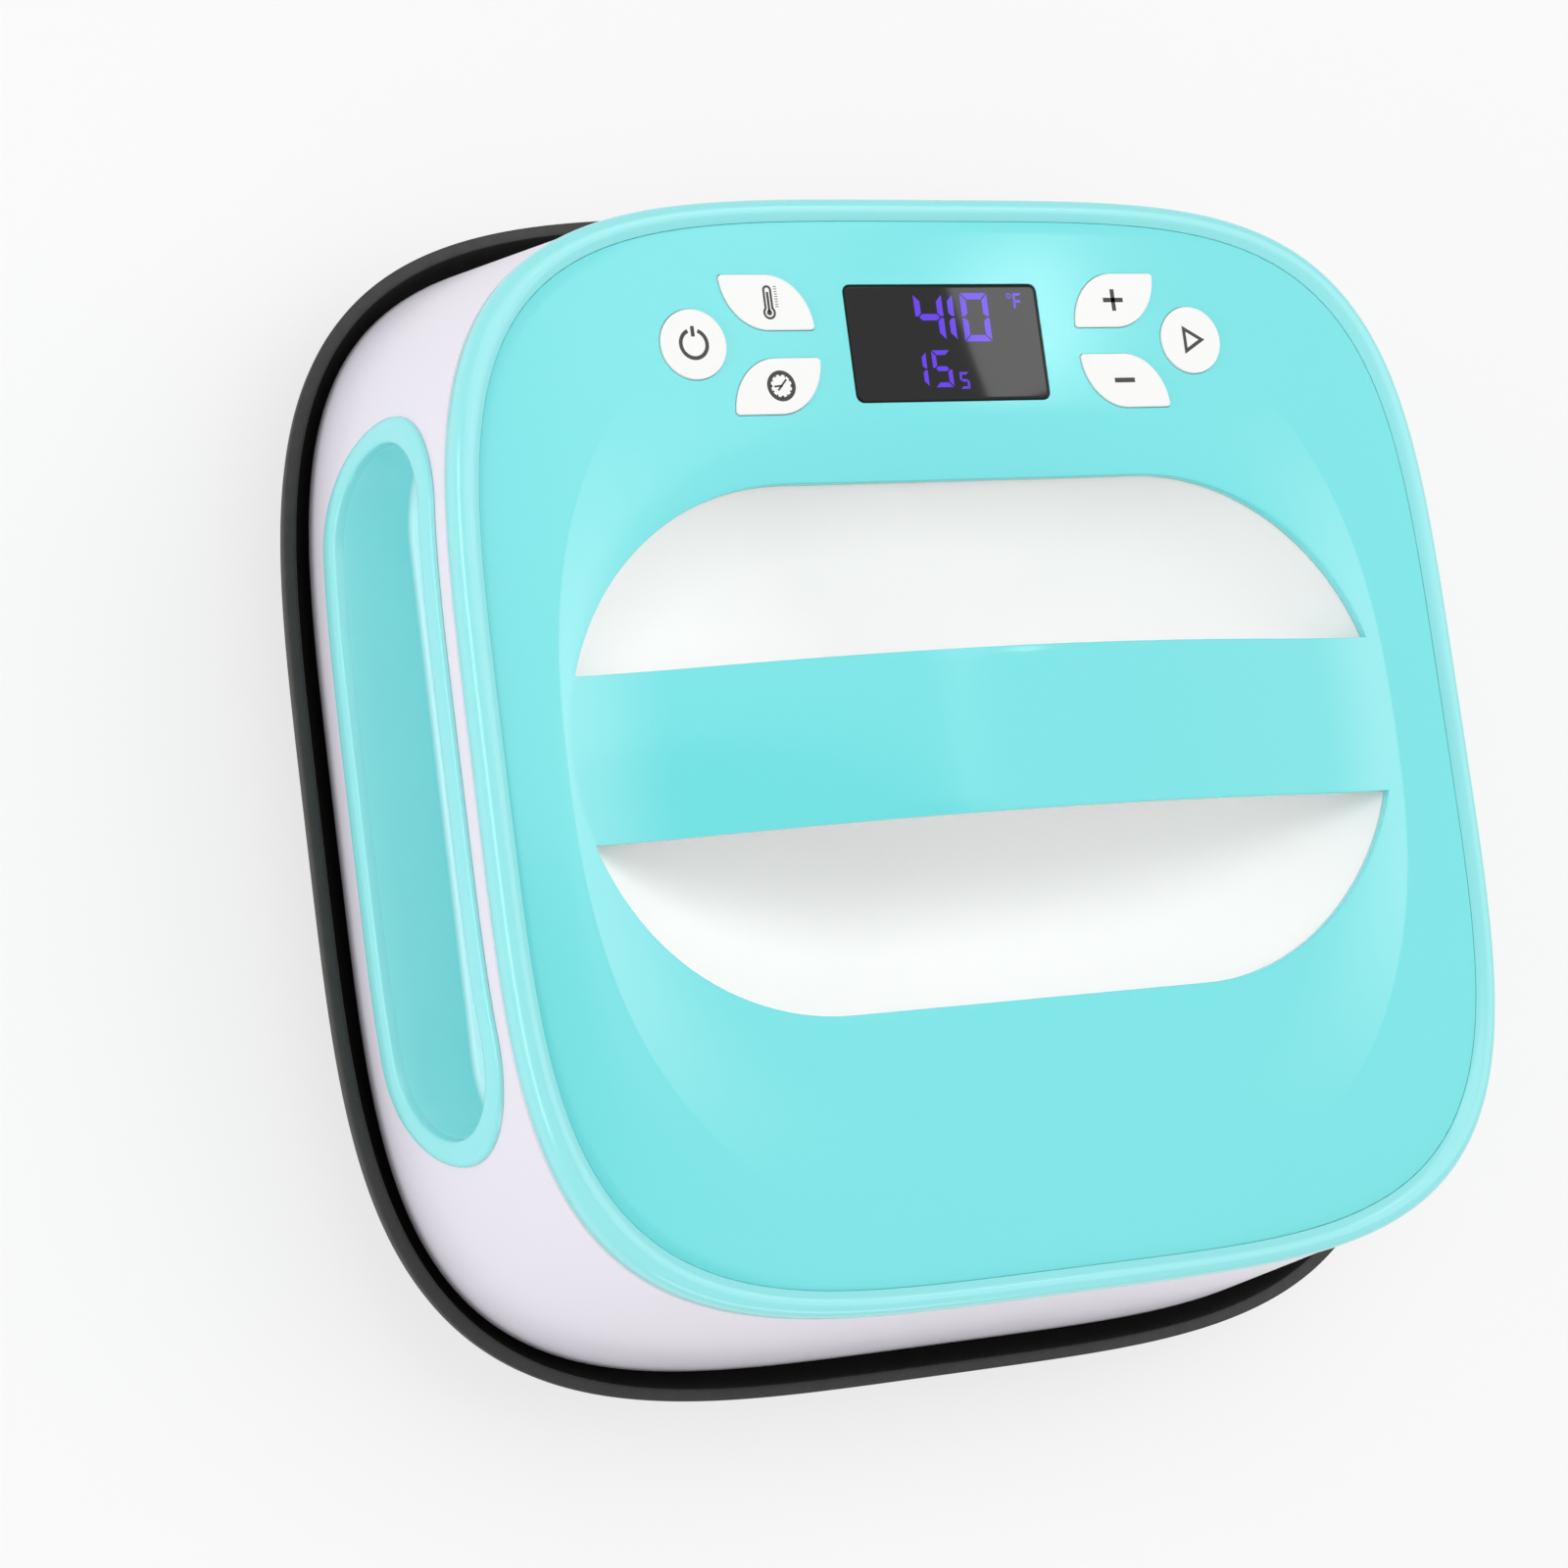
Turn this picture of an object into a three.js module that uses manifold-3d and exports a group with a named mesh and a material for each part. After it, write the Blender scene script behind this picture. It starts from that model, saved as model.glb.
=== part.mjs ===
// Portable heat press seated in its base tray.
// Millimetres, +Z up, +Y toward the display, origin on the table under the middle of the tray.
import * as THREE from "three";
import { mergeVertices } from "three/addons/utils/BufferGeometryUtils.js";
import Module from "manifold-3d";

const wasm = await Module();
wasm.setup();

// Outline of the press and the tray: the face reaches past the heat plate on every side
const faceBorder = 15;
const depthShare = 0.989;
const pressSquareness = 4.2;
const traySquareness = 3.9;
const outlineSteps = 64;

// Clearances
const seatGap = 0.3;
const cutOverrun = 2;

// Base tray, its rails and feet
const footHeight = 2;
const footRadius = 9;
const footRecess = 1;
const trayFloor = 3;
const trayDepth = 21;
const trayLip = 3;
const trayFillet = 28;
const trayGap = 4.8;
const railHeight = 9;
const railFoot = 20;
const railTop = 9;
const railLength = 80;
const railInset = 9;

// Heat plate and what lies on it
const plateSide = 254;
const plateThick = 10;
const plateProud = 5.7;
const tubeDiameter = 7;
const tubeBend = 24;
const terminalLength = 14;
const thermostatRadius = 8;
const thermostatHeight = 6.5;
const fuseRadius = 2.2;
const fuseLength = 18;
const probeRadius = 2.6;
const probeLength = 26;

// Insulation, shield and standoffs
const blanketGap = 1;
const blanketThick = 8;
const shieldInset = 8;
const shieldThick = 1;
const standoffRadius = 4;
const standoffInset = 8;

// Body shell
const shellHeight = 73;
const shellFlare = 9.2;
const shellWall = 2.6;
const shellChamfer = 1.6;
const ledgeWidth = 11;
const ledgeThick = 2.5;
const bossRadius = 5;
const ribThick = 2;

// Bottom cover
const coverThick = 2.5;
const coverLift = 2.5;
const coverPlateGap = 1.5;
const coverEdgeGap = 0.5;
const coverCornerWidth = 2.05;
const coverBossRadius = 4.5;
const coverBossHeight = 7;
const coverBossInset = 7;

// Screws
const caseScrewRadius = 1.8;
const caseHeadRadius = 3.6;
const caseHeadHeight = 2.4;
const smallScrewRadius = 1.2;
const smallHeadRadius = 2.6;
const smallHeadHeight = 1.5;
const smallScrewLength = 7;

// Rim bead and face panel
const rimHeight = 8;
const rimWidth = 6.2;
const rimLedgeThick = 3.1;
const panelRise = 6.5;
const panelThick = 2.5;
const panelBossRadius = 4;

// Hand wells, bowl and handle
const wellMargin = 17.3;
const wellLeafGap = 17.9;
const handleHalf = 20.6;
const handleArch = 15.2;
const dishDepth = 1.7;
const dishBeside = 3.8;
const dishBehind = 17.3;
const dishAhead = 31.3;
const bowlClearance = 16.8;
const bowlWall = 2;
const bowlFlange = 6;
const gripBelly = 12;
const gripEdge = 1.2;
const gripInset = 1;
const gripEndGap = 14.2;

// Side pockets
const pocketEndMargin = 53.9;
const pocketTopMargin = 11.3;
const pocketFootMargin = 18.5;
const pocketShiftY = 1.5;
const pocketDepth = 21;
const pocketWall = 2;
const pocketRing = 6.6;
const pocketProud = 1.4;

// Display
const windowWidth = 56.4;
const windowHeight = 30.6;
const windowDrop = 0.6;
const windowGap = 0.3;
const windowProud = 0.1;
const moduleMargin = 2.8;

// Buttons and their switches
const roundRadius = 9;
const roundLeafGap = 12.9;
const buttonRowMargin = 31.2;
const leafWidth = 25.2;
const leafHeight = 14.4;
const leafWindowGap = 10.4;
const leafRowGap = 7.6;
const buttonGap = 0.35;
const buttonProud = 0.6;
const buttonFlange = 1;
const buttonFlangeThick = 0.9;
const buttonLift = 0.4;
const buttonTravel = 0.8;
const stemRadius = 2.5;
const stemLength = 1.2;
const switchSide = 6;
const switchHeight = 3.1;
const plungerRadius = 1.75;
const plungerHeight = 0.5;

// Control board
const boardThick = 1.6;
const boardOverhang = 7.9;
const boardDepth = 40;
const boardPostRadius = 3;
const boardPostInset = 3.5;
const boardPostSetback = 4;
const buzzerRadius = 6;
const buzzerHeight = 6;

// Power board and its parts
const powerWidth = 120;
const powerDepth = 44;
const powerInset = 48.4;
const pillarHeight = 3;
const pillarRadius = 3;
const relaySize = [20, 16, 15];
const transformerSize = [32, 26, 24];
const sinkSize = [30, 6, 20];
const ribbonWidth = 12;
const ribbonThick = 1;
const ribbonX = 30;
const ribbonLift = 6;

// Cord gland
const glandFlangeRadius = 9;
const glandFlangeThick = 2.5;
const glandBarrelRadius = 6;
const glandBore = 3.6;
const glandInside = 8;
const glandBelowParting = 35;

// Levels, from the table up
const trayUnderside = footHeight;
const trayInside = trayUnderside + trayFloor;
const trayTop = trayInside + trayDepth;
const plateBottom = trayInside + railHeight + seatGap;
const plateTop = plateBottom + plateThick;
const shellBottom = plateBottom + plateProud;
const coverBottom = shellBottom + coverLift;
const coverTop = coverBottom + coverThick;
const parting = shellBottom + shellHeight;
const tubeLevel = plateTop + seatGap + tubeDiameter / 2;
const blanketBottom = tubeLevel + tubeDiameter / 2 + seatGap;
const shieldBottom = blanketBottom + blanketThick + seatGap;
const shieldTop = shieldBottom + shieldThick;
const panelTop = parting + panelRise;
const panelBottom = panelTop - panelThick;
const rimLedgeTop = parting + seatGap + rimLedgeThick;
const capBottom = panelBottom - buttonLift - buttonFlangeThick;
const stemBottom = capBottom - stemLength;
const plungerTop = stemBottom - buttonTravel - seatGap / 3;
const boardTop = plungerTop - plungerHeight - switchHeight - seatGap;
const boardBottom = boardTop - boardThick;
const powerBottom = shieldTop + pillarHeight + seatGap;
const powerTop = powerBottom + boardThick;
const bowlRim = panelBottom - dishDepth - seatGap;
const bowlDepth = bowlRim - bowlWall - bowlClearance - shieldTop;

// Half widths that follow the outline
const faceHalf = plateSide / 2 + faceBorder;
const shellHalfAt = (z) => faceHalf + (shellFlare * (parting - z)) / shellHeight;
const trayInnerHalf = faceHalf + shellFlare + trayGap;
const trayOuterHalf = trayInnerHalf + trayLip;
const ledgeHalf = faceHalf - ledgeWidth;
const panelHalf = faceHalf - rimWidth - seatGap;
const screwHalf = faceHalf - rimWidth - panelBossRadius;
const pocketHalfLength = faceHalf * depthShare - pocketEndMargin;
const pocketHalfHeight = (shellHeight - pocketTopMargin - pocketFootMargin) / 2;
const pocketZ = parting - pocketTopMargin - pocketHalfHeight;
const pocketFloorX = shellHalfAt(pocketZ) - pocketDepth;

// Places on the face: the button row hangs from the rear edge and the wells from the row
const buttonRowY = panelHalf * depthShare - buttonRowMargin;
const windowY = buttonRowY - windowDrop;
const leafX = windowWidth / 2 + leafWindowGap + leafWidth / 2;
const leafRise = (leafHeight + leafRowGap) / 2;
const roundX = leafX + roundLeafGap + roundRadius;
const wellHalfLength = panelHalf - wellMargin;
const wellRadius = buttonRowY - leafRise - leafHeight / 2 - wellLeafGap;
const dishHalfX = wellHalfLength + dishBeside;
const dishBack = wellRadius + dishBehind;
const dishFront = wellRadius + dishAhead;
const gripHalfLength = wellHalfLength - gripEndGap;
const boardHalfWidth = roundX + boardOverhang;
const boardPostX = boardHalfWidth - boardPostInset;
const boardPostSpread = boardDepth - boardPostSetback * 2;
const powerY = faceHalf * depthShare - powerInset;

// A curve that is square in the middle of each side and round at the corners,
// as a point in one direction from its centre, for a half width of one
const superOutline = (power) => (angle) => {
  const across = Math.cos(angle);
  const along = Math.sin(angle);
  const reach = (Math.abs(across) ** power + Math.abs(along) ** power) ** (-1 / power);
  return [across * reach, along * reach];
};
const pressOutline = superOutline(pressSquareness);
const trayOutline = superOutline(traySquareness);

// A stadium for a half length of one. Its steps start half a step off the middle of a straight
// side, so that two of them are the straight sides and the rest lie on the two half circles
const stadiumSteps = 42;
const stadiumOutline = (angle) => {
  const side = Math.abs(angle) < Math.PI / 2 ? 1 : -1;
  const fromAxis = side > 0 ? angle : angle - Math.sign(angle) * Math.PI;
  const turn = (fromAxis * stadiumSteps) / (stadiumSteps - 2);
  const straight = wellHalfLength - wellRadius;
  const x = side * (straight + wellRadius * Math.cos(turn));
  const y = side * wellRadius * Math.sin(turn);
  return [x / wellHalfLength, y / wellHalfLength];
};

// The corner of an outline, as a share of its half width along X and along Y
const cornerShare = (power) => 2 ** (-1 / power);

// The plate's corners are rounded so that the cover round it keeps its width there
const coverHalf = shellHalfAt(coverTop) - shellWall - coverEdgeGap;
const coverCorner = coverHalf * cornerShare(pressSquareness) * depthShare - coverCornerWidth;
const plateCorner = (plateSide / 2 + coverPlateGap - coverCorner) / (1 - Math.SQRT1_2) - coverPlateGap;

// Turns the faces of a geometry outwards
function facesOut(geometry) {
  const place = geometry.attributes.position;
  const index = geometry.index.array;
  const a = new THREE.Vector3();
  const b = new THREE.Vector3();
  const c = new THREE.Vector3();
  let volume = 0;
  for (let i = 0; i < index.length; i += 3) {
    a.fromBufferAttribute(place, index[i]);
    b.fromBufferAttribute(place, index[i + 1]);
    c.fromBufferAttribute(place, index[i + 2]);
    volume += a.dot(b.cross(c));
  }
  if (volume < 0) {
    for (let i = 0; i < index.length; i += 3) {
      [index[i], index[i + 1]] = [index[i + 1], index[i]];
    }
  }
  return geometry;
}

// Welds a geometry and makes a solid of it
function solid(geometry) {
  const bare = geometry.clone();
  bare.deleteAttribute("normal");
  bare.deleteAttribute("uv");
  const welded = facesOut(mergeVertices(bare));
  return new wasm.Manifold(
    new wasm.Mesh({
      numProp: 3,
      vertProperties: welded.attributes.position.array,
      triVerts: new Uint32Array(welded.index.array),
    }),
  );
}

// Makes a geometry of a solid
function geometryOf(body) {
  const mesh = body.getMesh();
  const geometry = new THREE.BufferGeometry();
  const place = new Float32Array(mesh.vertProperties);
  geometry.setAttribute("position", new THREE.BufferAttribute(place, 3));
  geometry.setIndex(new THREE.BufferAttribute(new Uint32Array(mesh.triVerts), 1));
  geometry.computeVertexNormals();
  return geometry;
}

// A profile of [radius, height] pairs turned about Z, then drawn out to an outline
function turned(profile, outline, share = 1, steps = outlineSteps, start = 0) {
  const points = profile.map(([radius, height]) => new THREE.Vector2(radius, height));
  const geometry = new THREE.LatheGeometry(points, steps, start);
  geometry.rotateX(Math.PI / 2);
  const place = geometry.attributes.position;
  for (let i = 0; i < place.count; i += 1) {
    const radius = Math.hypot(place.getX(i), place.getY(i));
    const [x, y] = outline(Math.atan2(place.getY(i), place.getX(i)));
    place.setXY(i, radius * x, radius * y * share);
  }
  return geometry;
}

const turnedSolid = (...choices) => solid(turned(...choices));

// A plain round post between two levels
function post(radius, bottom, top, x = 0, y = 0, steps = 12) {
  const geometry = new THREE.CylinderGeometry(radius, radius, top - bottom, steps);
  geometry.rotateX(Math.PI / 2);
  geometry.translate(x, y, (bottom + top) / 2);
  return solid(geometry);
}

// A block centred on x and y between two levels
function block(width, depth, bottom, top, x = 0, y = 0) {
  const geometry = new THREE.BoxGeometry(width, depth, top - bottom);
  geometry.translate(x, y, (bottom + top) / 2);
  return solid(geometry);
}

// A flat shape given thickness between two levels
function slab(shape, bottom, top, curveSegments = 8) {
  const options = { depth: top - bottom, bevelEnabled: false, curveSegments };
  const geometry = new THREE.ExtrudeGeometry(shape, options);
  geometry.translate(0, 0, bottom);
  return solid(geometry);
}

function roundedRectangle(width, depth, corner) {
  const x = width / 2;
  const y = depth / 2;
  const shape = new THREE.Shape();
  shape.moveTo(x - corner, -y);
  shape.absarc(x - corner, corner - y, corner, -Math.PI / 2, 0);
  shape.absarc(x - corner, y - corner, corner, 0, Math.PI / 2);
  shape.absarc(corner - x, y - corner, corner, Math.PI / 2, Math.PI);
  shape.absarc(corner - x, corner - y, corner, Math.PI, Math.PI * 1.5);
  return shape;
}

function stadiumShape(halfLength, radius) {
  const shape = new THREE.Shape();
  const straight = halfLength - radius;
  shape.absarc(straight, 0, radius, -Math.PI / 2, Math.PI / 2);
  shape.absarc(-straight, 0, radius, Math.PI / 2, Math.PI * 1.5);
  return shape;
}

// Four places, one in each quarter
const quarters = [
  [1, 1],
  [-1, 1],
  [-1, -1],
  [1, -1],
];

// The four case screws stand on the diagonals of the outline
const screwCorner = cornerShare(pressSquareness);
const screwPlaces = quarters.map(([sx, sy]) => [
  sx * screwHalf * screwCorner,
  sy * screwHalf * screwCorner * depthShare,
]);
const screwReachY = screwHalf * screwCorner * depthShare;
const blanketSide = (screwReachY - caseHeadRadius - blanketGap) * 2;
const standoffPitch = blanketSide - standoffInset * 2;
const shieldSide = plateSide - shieldInset * 2;
const boardY = buttonRowY;
const boardPostPlaces = quarters.map(([sx, sy]) => [sx * boardPostX, boardY + (sy * boardPostSpread) / 2]);
const standoffPlaces = quarters.map(([sx, sy]) => [(sx * standoffPitch) / 2, (sy * standoffPitch) / 2]);

// Materials
const finish = (color, roughness, metalness = 0) =>
  new THREE.MeshStandardMaterial({ color, roughness, metalness });
const mint = finish(0x84eaea, 0.25);
const mintPocket = finish(0x9ae8ea, 0.35);
const white = finish(0xf4f2f5, 0.35);
const black = finish(0x1b1b1c, 0.7);
const darkGlass = finish(0x26262b, 0.1);
const steel = finish(0xb9bcc0, 0.35, 0.9);
const aluminium = finish(0xc8cacc, 0.4, 0.9);
const coating = finish(0x3a3a3c, 0.55);
const wool = finish(0xe9e6dd, 0.95);
const rubber = finish(0x202020, 0.85);
const greenBoard = finish(0x1f6b3a, 0.5);
const ceramic = finish(0xf0ece2, 0.4);
const grey = finish(0x8a8c90, 0.5);

// The whole press, and the group that each named piece joins
const press = new THREE.Group();

function place(name, body, material, x = 0, y = 0, z = 0) {
  const geometry = body.isBufferGeometry ? body : geometryOf(body);
  const mesh = new THREE.Mesh(geometry, material);
  mesh.name = name;
  mesh.position.set(x, y, z);
  press.add(mesh);
}

// A quarter-ellipse side wall from a lip down to a floor, as [half width, height] pairs
function filletWall(lipHalf, lipLevel, width, height, steps = 4) {
  const points = [];
  for (let i = 0; i <= steps; i += 1) {
    const turn = (i / steps) * (Math.PI / 2);
    const half = lipHalf - width * (1 - Math.cos(turn));
    points.push([half, lipLevel - height * Math.sin(turn)]);
  }
  return points;
}

// Base tray: a shallow dish with a flat lip and four raised rails on its diagonals
const railRise = railHeight + trayFloor / 2;

function rail(sx, sy) {
  const section = new THREE.Shape();
  section.moveTo(-railFoot / 2, 0);
  section.lineTo(railFoot / 2, 0);
  section.lineTo(railTop / 2, railRise);
  section.lineTo(-railTop / 2, railRise);
  section.closePath();
  const straight = railLength - railFoot / 2;
  const options = { depth: straight, bevelEnabled: false };
  const bar = new THREE.ExtrudeGeometry(section, options);
  bar.rotateX(Math.PI / 2);
  const nose = new THREE.CylinderGeometry(railTop / 2, railFoot / 2, railRise, 12);
  nose.rotateX(Math.PI / 2);
  nose.translate(0, 0, railRise / 2);
  const geometry = geometryOf(solid(bar).add(solid(nose)));
  const corner = cornerShare(traySquareness) * Math.SQRT2;
  const reach = trayInnerHalf * corner - railInset - railFoot / 2;
  geometry.translate(0, reach, trayInside + railHeight - railRise);
  geometry.rotateZ(Math.atan2(sy, sx) - Math.PI / 2);
  return solid(geometry);
}

function baseTray() {
  const outerHeight = trayTop - trayUnderside;
  const outer = filletWall(trayOuterHalf, trayTop, trayFillet + trayLip / 2, outerHeight);
  const inner = filletWall(trayInnerHalf, trayTop, trayFillet, trayDepth);
  const profile = [[0, trayUnderside], ...outer.reverse(), ...inner, [0, trayInside]];
  let tray = turnedSolid(profile, trayOutline, depthShare);
  const filled = turnedSolid([...profile.slice(0, outer.length + 1), [0, trayTop]], trayOutline, depthShare);
  quarters.forEach(([sx, sy]) => {
    tray = tray.add(rail(sx, sy).intersect(filled));
  });
  footPlaces.forEach(([x, y]) => {
    const hole = post(footRadius + seatGap, trayUnderside - cutOverrun, trayUnderside + footRecess, x, y, 24);
    tray = tray.subtract(hole);
  });
  place("base_tray", tray, black);
}

const footReach = (trayInnerHalf - trayFillet - footRadius) * cornerShare(traySquareness);
const footPlaces = quarters.map(([sx, sy]) => [sx * footReach, sy * footReach]);

function baseFeet() {
  footPlaces.forEach(([x, y], i) => {
    const top = trayUnderside + footRecess - seatGap;
    place(`base_foot_${i + 1}`, post(footRadius, 0, top, 0, 0, 24), rubber, x, y);
  });
}

// Heat plate and the heater that lies on it
function heatPlate() {
  const shape = roundedRectangle(plateSide, plateSide, plateCorner);
  place("heat_plate", slab(shape, plateBottom, plateTop, 4), coating);
}

const heaterLoopShare = 0.68;
const heaterMouthShare = 0.2;
const heaterHalf = (plateSide / 2) * heaterLoopShare;
const heaterMouth = (plateSide / 2) * heaterMouthShare;

function heaterTube() {
  const corners = [
    [-heaterMouth, -heaterHalf],
    [-heaterHalf, -heaterHalf],
    [-heaterHalf, heaterHalf],
    [heaterHalf, heaterHalf],
    [heaterHalf, -heaterHalf],
    [heaterMouth, -heaterHalf],
  ].map(([x, y]) => new THREE.Vector3(x, y, tubeLevel));
  const path = new THREE.CurvePath();
  let from = corners[0];
  for (let i = 1; i < corners.length - 1; i += 1) {
    const corner = corners[i];
    const back = corners[i - 1].clone().sub(corner).setLength(tubeBend).add(corner);
    const ahead = corners[i + 1].clone().sub(corner).setLength(tubeBend).add(corner);
    path.add(new THREE.LineCurve3(from, back));
    path.add(new THREE.QuadraticBezierCurve3(back, corner, ahead));
    from = ahead;
  }
  path.add(new THREE.LineCurve3(from, corners[corners.length - 1]));
  const ring = new THREE.Shape().absarc(0, 0, tubeDiameter / 2, 0, Math.PI * 2);
  const options = { steps: 36, curveSegments: 4, bevelEnabled: false, extrudePath: path };
  place("heater_tube", solid(new THREE.ExtrudeGeometry(ring, options)), steel);
}

function heaterTerminals() {
  [-1, 1].forEach((side) => {
    const geometry = new THREE.CylinderGeometry(
      tubeDiameter / 2,
      tubeDiameter / 2,
      terminalLength,
      12,
    );
    geometry.rotateZ(Math.PI / 2);
    const x = side * (heaterMouth - seatGap - terminalLength / 2);
    geometry.translate(x, -heaterHalf, tubeLevel);
    place(side < 0 ? "heater_terminal_left" : "heater_terminal_right", solid(geometry), ceramic);
  });
}

const sensorShare = 0.3;
const sensorReach = (plateSide / 2) * sensorShare;

function plateSensors() {
  const bottom = plateTop + seatGap;
  const thermostat = post(thermostatRadius, bottom, bottom + thermostatHeight);
  place("thermostat", thermostat, ceramic);
  const fuse = new THREE.CylinderGeometry(fuseRadius, fuseRadius, fuseLength, 12);
  fuse.translate(-sensorReach, 0, bottom + fuseRadius);
  place("thermal_fuse", solid(fuse), white);
  const probe = new THREE.CylinderGeometry(probeRadius, probeRadius, probeLength, 12);
  probe.translate(sensorReach, 0, bottom + probeRadius);
  place("temperature_probe", solid(probe), steel);
}

function insulation() {
  const top = blanketBottom + blanketThick;
  let blanket = block(blanketSide, blanketSide, blanketBottom, top);
  standoffPlaces.forEach(([x, y]) => {
    const hole = post(standoffRadius + seatGap, blanketBottom - cutOverrun, top + cutOverrun, x, y, 8);
    blanket = blanket.subtract(hole);
  });
  place("insulation_blanket", blanket, wool);
}

function standoffs() {
  standoffPlaces.forEach(([x, y], i) => {
    const body = post(standoffRadius, plateTop + seatGap, shieldBottom - seatGap, 0, 0, 8);
    place(`standoff_${i + 1}`, body, steel, x, y);
  });
}

// Heat shield with pillars that carry the power board
function heatShield() {
  let shield = block(shieldSide, shieldSide, shieldBottom, shieldTop);
  quarters.forEach(([sx, sy]) => {
    const x = sx * (powerWidth / 2 - pillarRadius);
    const y = sy * (powerDepth / 2 - pillarRadius) - powerY;
    shield = shield.add(post(pillarRadius, shieldBottom, powerBottom - seatGap, x, y, 8));
  });
  screwPlaces.forEach(([x, y]) => {
    const bottom = shieldBottom - cutOverrun;
    shield = shield.subtract(post(caseScrewRadius + seatGap, bottom, shieldTop + cutOverrun, x, y));
  });
  place("heat_shield", shield, aluminium);
}

// Long screws from the shield up through the shell's bosses into the face panel
function caseScrews() {
  const head = shieldBottom - seatGap;
  const tip = panelTop - panelThick / 2 - seatGap;
  screwPlaces.forEach(([x, y], i) => {
    const shaft = post(caseScrewRadius, head - caseHeadHeight / 2, tip, 0, 0, 8);
    const body = shaft.add(post(caseHeadRadius, head - caseHeadHeight, head, 0, 0, 8));
    place(`case_screw_${i + 1}`, body, steel, x, y);
  });
}

// The filled outside of the shell, grown outwards by an amount
function shellOutside(grow) {
  const profile = [
    [0, shellBottom],
    [shellHalfAt(shellBottom) + grow, shellBottom],
    [faceHalf + grow, parting],
    [0, parting],
  ];
  return turnedSolid(profile, pressOutline, depthShare);
}

// A stadium prism that runs out sideways through the wall from x = inner
function pocketPrism(grow, inner) {
  const reach = shellHalfAt(shellBottom) + pocketRing;
  const shape = stadiumShape(pocketHalfLength + grow, pocketHalfHeight + grow);
  const options = { depth: reach - inner, bevelEnabled: false, curveSegments: 8 };
  const geometry = new THREE.ExtrudeGeometry(shape, options);
  geometry.rotateX(Math.PI / 2);
  geometry.rotateZ(Math.PI / 2);
  geometry.translate(inner, pocketShiftY, pocketZ);
  return solid(geometry);
}

const mirrored = (body) => solid(geometryOf(body).scale(-1, 1, 1));

function sidePockets() {
  const skin = shellOutside(pocketProud);
  const ring = pocketPrism(pocketRing, pocketFloorX).intersect(skin).subtract(shellOutside(seatGap));
  const cup = pocketPrism(pocketWall, pocketFloorX - pocketWall).intersect(skin);
  const right = ring.add(cup).subtract(pocketPrism(0, pocketFloorX));
  place("side_pocket_right", right, mintPocket);
  place("side_pocket_left", mirrored(right), mintPocket);
}

// Places of the screws that hold the bottom cover, in the middle of each side
const coverScrewHalf = shellHalfAt(shellBottom) - shellWall - coverBossInset;
const coverScrewPlaces = [
  [coverScrewHalf, 0],
  [0, coverScrewHalf * depthShare],
  [-coverScrewHalf, 0],
  [0, -coverScrewHalf * depthShare],
];

// The axis of the gland leans with the rear wall
const glandLean = Math.atan2(shellFlare * depthShare, shellHeight);
const glandZ = parting - glandBelowParting;
const glandY = shellHalfAt(glandZ) * depthShare;

function onRearWall(body) {
  const geometry = geometryOf(body);
  geometry.rotateX(-Math.PI / 2 + glandLean);
  geometry.translate(0, glandY, glandZ);
  return solid(geometry);
}

// Body shell: flared wall, inward ledge at the top, bosses, side openings and the gland hole
function bodyShell() {
  const profile = [
    [shellHalfAt(shellBottom) - shellChamfer, shellBottom],
    [shellHalfAt(shellBottom + shellChamfer), shellBottom + shellChamfer],
    [faceHalf, parting],
    [ledgeHalf, parting],
    [ledgeHalf, parting - ledgeThick],
    [shellHalfAt(parting - ledgeThick) - shellWall, parting - ledgeThick],
    [shellHalfAt(shellBottom) - shellWall, shellBottom],
  ];
  let shell = turnedSolid([...profile, profile[0]], pressOutline, depthShare);
  const outside = shellOutside(-shellWall / 2);
  screwPlaces.forEach(([x, y]) => {
    const bottom = shieldTop + seatGap;
    const top = parting - ledgeThick / 2;
    const rib = new THREE.BoxGeometry(shellWall * bossRadius * 2, ribThick, top - bottom);
    rib.translate(shellWall * bossRadius, 0, 0);
    rib.rotateZ(Math.atan2(y, x));
    rib.translate(x, y, (top + bottom) / 2);
    const boss = post(bossRadius, bottom, top, x, y).add(solid(rib)).intersect(outside);
    shell = shell.add(boss);
  });
  coverScrewPlaces.forEach(([x, y]) => {
    const bottom = coverTop + seatGap;
    const boss = post(coverBossRadius, bottom, bottom + coverBossHeight, x, y);
    const web = new THREE.BoxGeometry(coverBossInset * 2, ribThick * 2, coverBossHeight);
    web.translate(coverBossInset, 0, 0);
    web.rotateZ(Math.atan2(y, x));
    web.translate(x, y, bottom + coverBossHeight / 2);
    shell = shell.add(boss.add(solid(web)).intersect(outside));
  });
  screwPlaces.forEach(([x, y]) => {
    const bore = post(caseScrewRadius + seatGap, shieldBottom, parting + cutOverrun, x, y);
    shell = shell.subtract(bore);
  });
  coverScrewPlaces.forEach(([x, y]) => {
    const top = coverBottom + smallScrewLength + seatGap;
    shell = shell.subtract(post(smallScrewRadius + seatGap, coverBottom, top, x, y, 8));
  });
  const hole = pocketPrism(pocketWall + seatGap, pocketFloorX - pocketWall);
  shell = shell.subtract(hole).subtract(mirrored(hole));
  const bore = post(glandBarrelRadius + seatGap, -glandInside, glandFlangeThick, 0, 0, 24);
  shell = shell.subtract(onRearWall(bore));
  place("body_shell", shell, white);
}

function cordGland() {
  const barrel = post(glandBarrelRadius, -glandInside, glandFlangeThick, 0, 0, 24);
  const lip = seatGap * 2;
  const flange = post(glandFlangeRadius, lip, lip + glandFlangeThick, 0, 0, 24);
  const bore = post(glandBore, -glandInside - cutOverrun, glandFlangeThick + cutOverrun, 0, 0, 16);
  place("cord_gland", onRearWall(barrel.add(flange).subtract(bore)), black);
}

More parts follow.
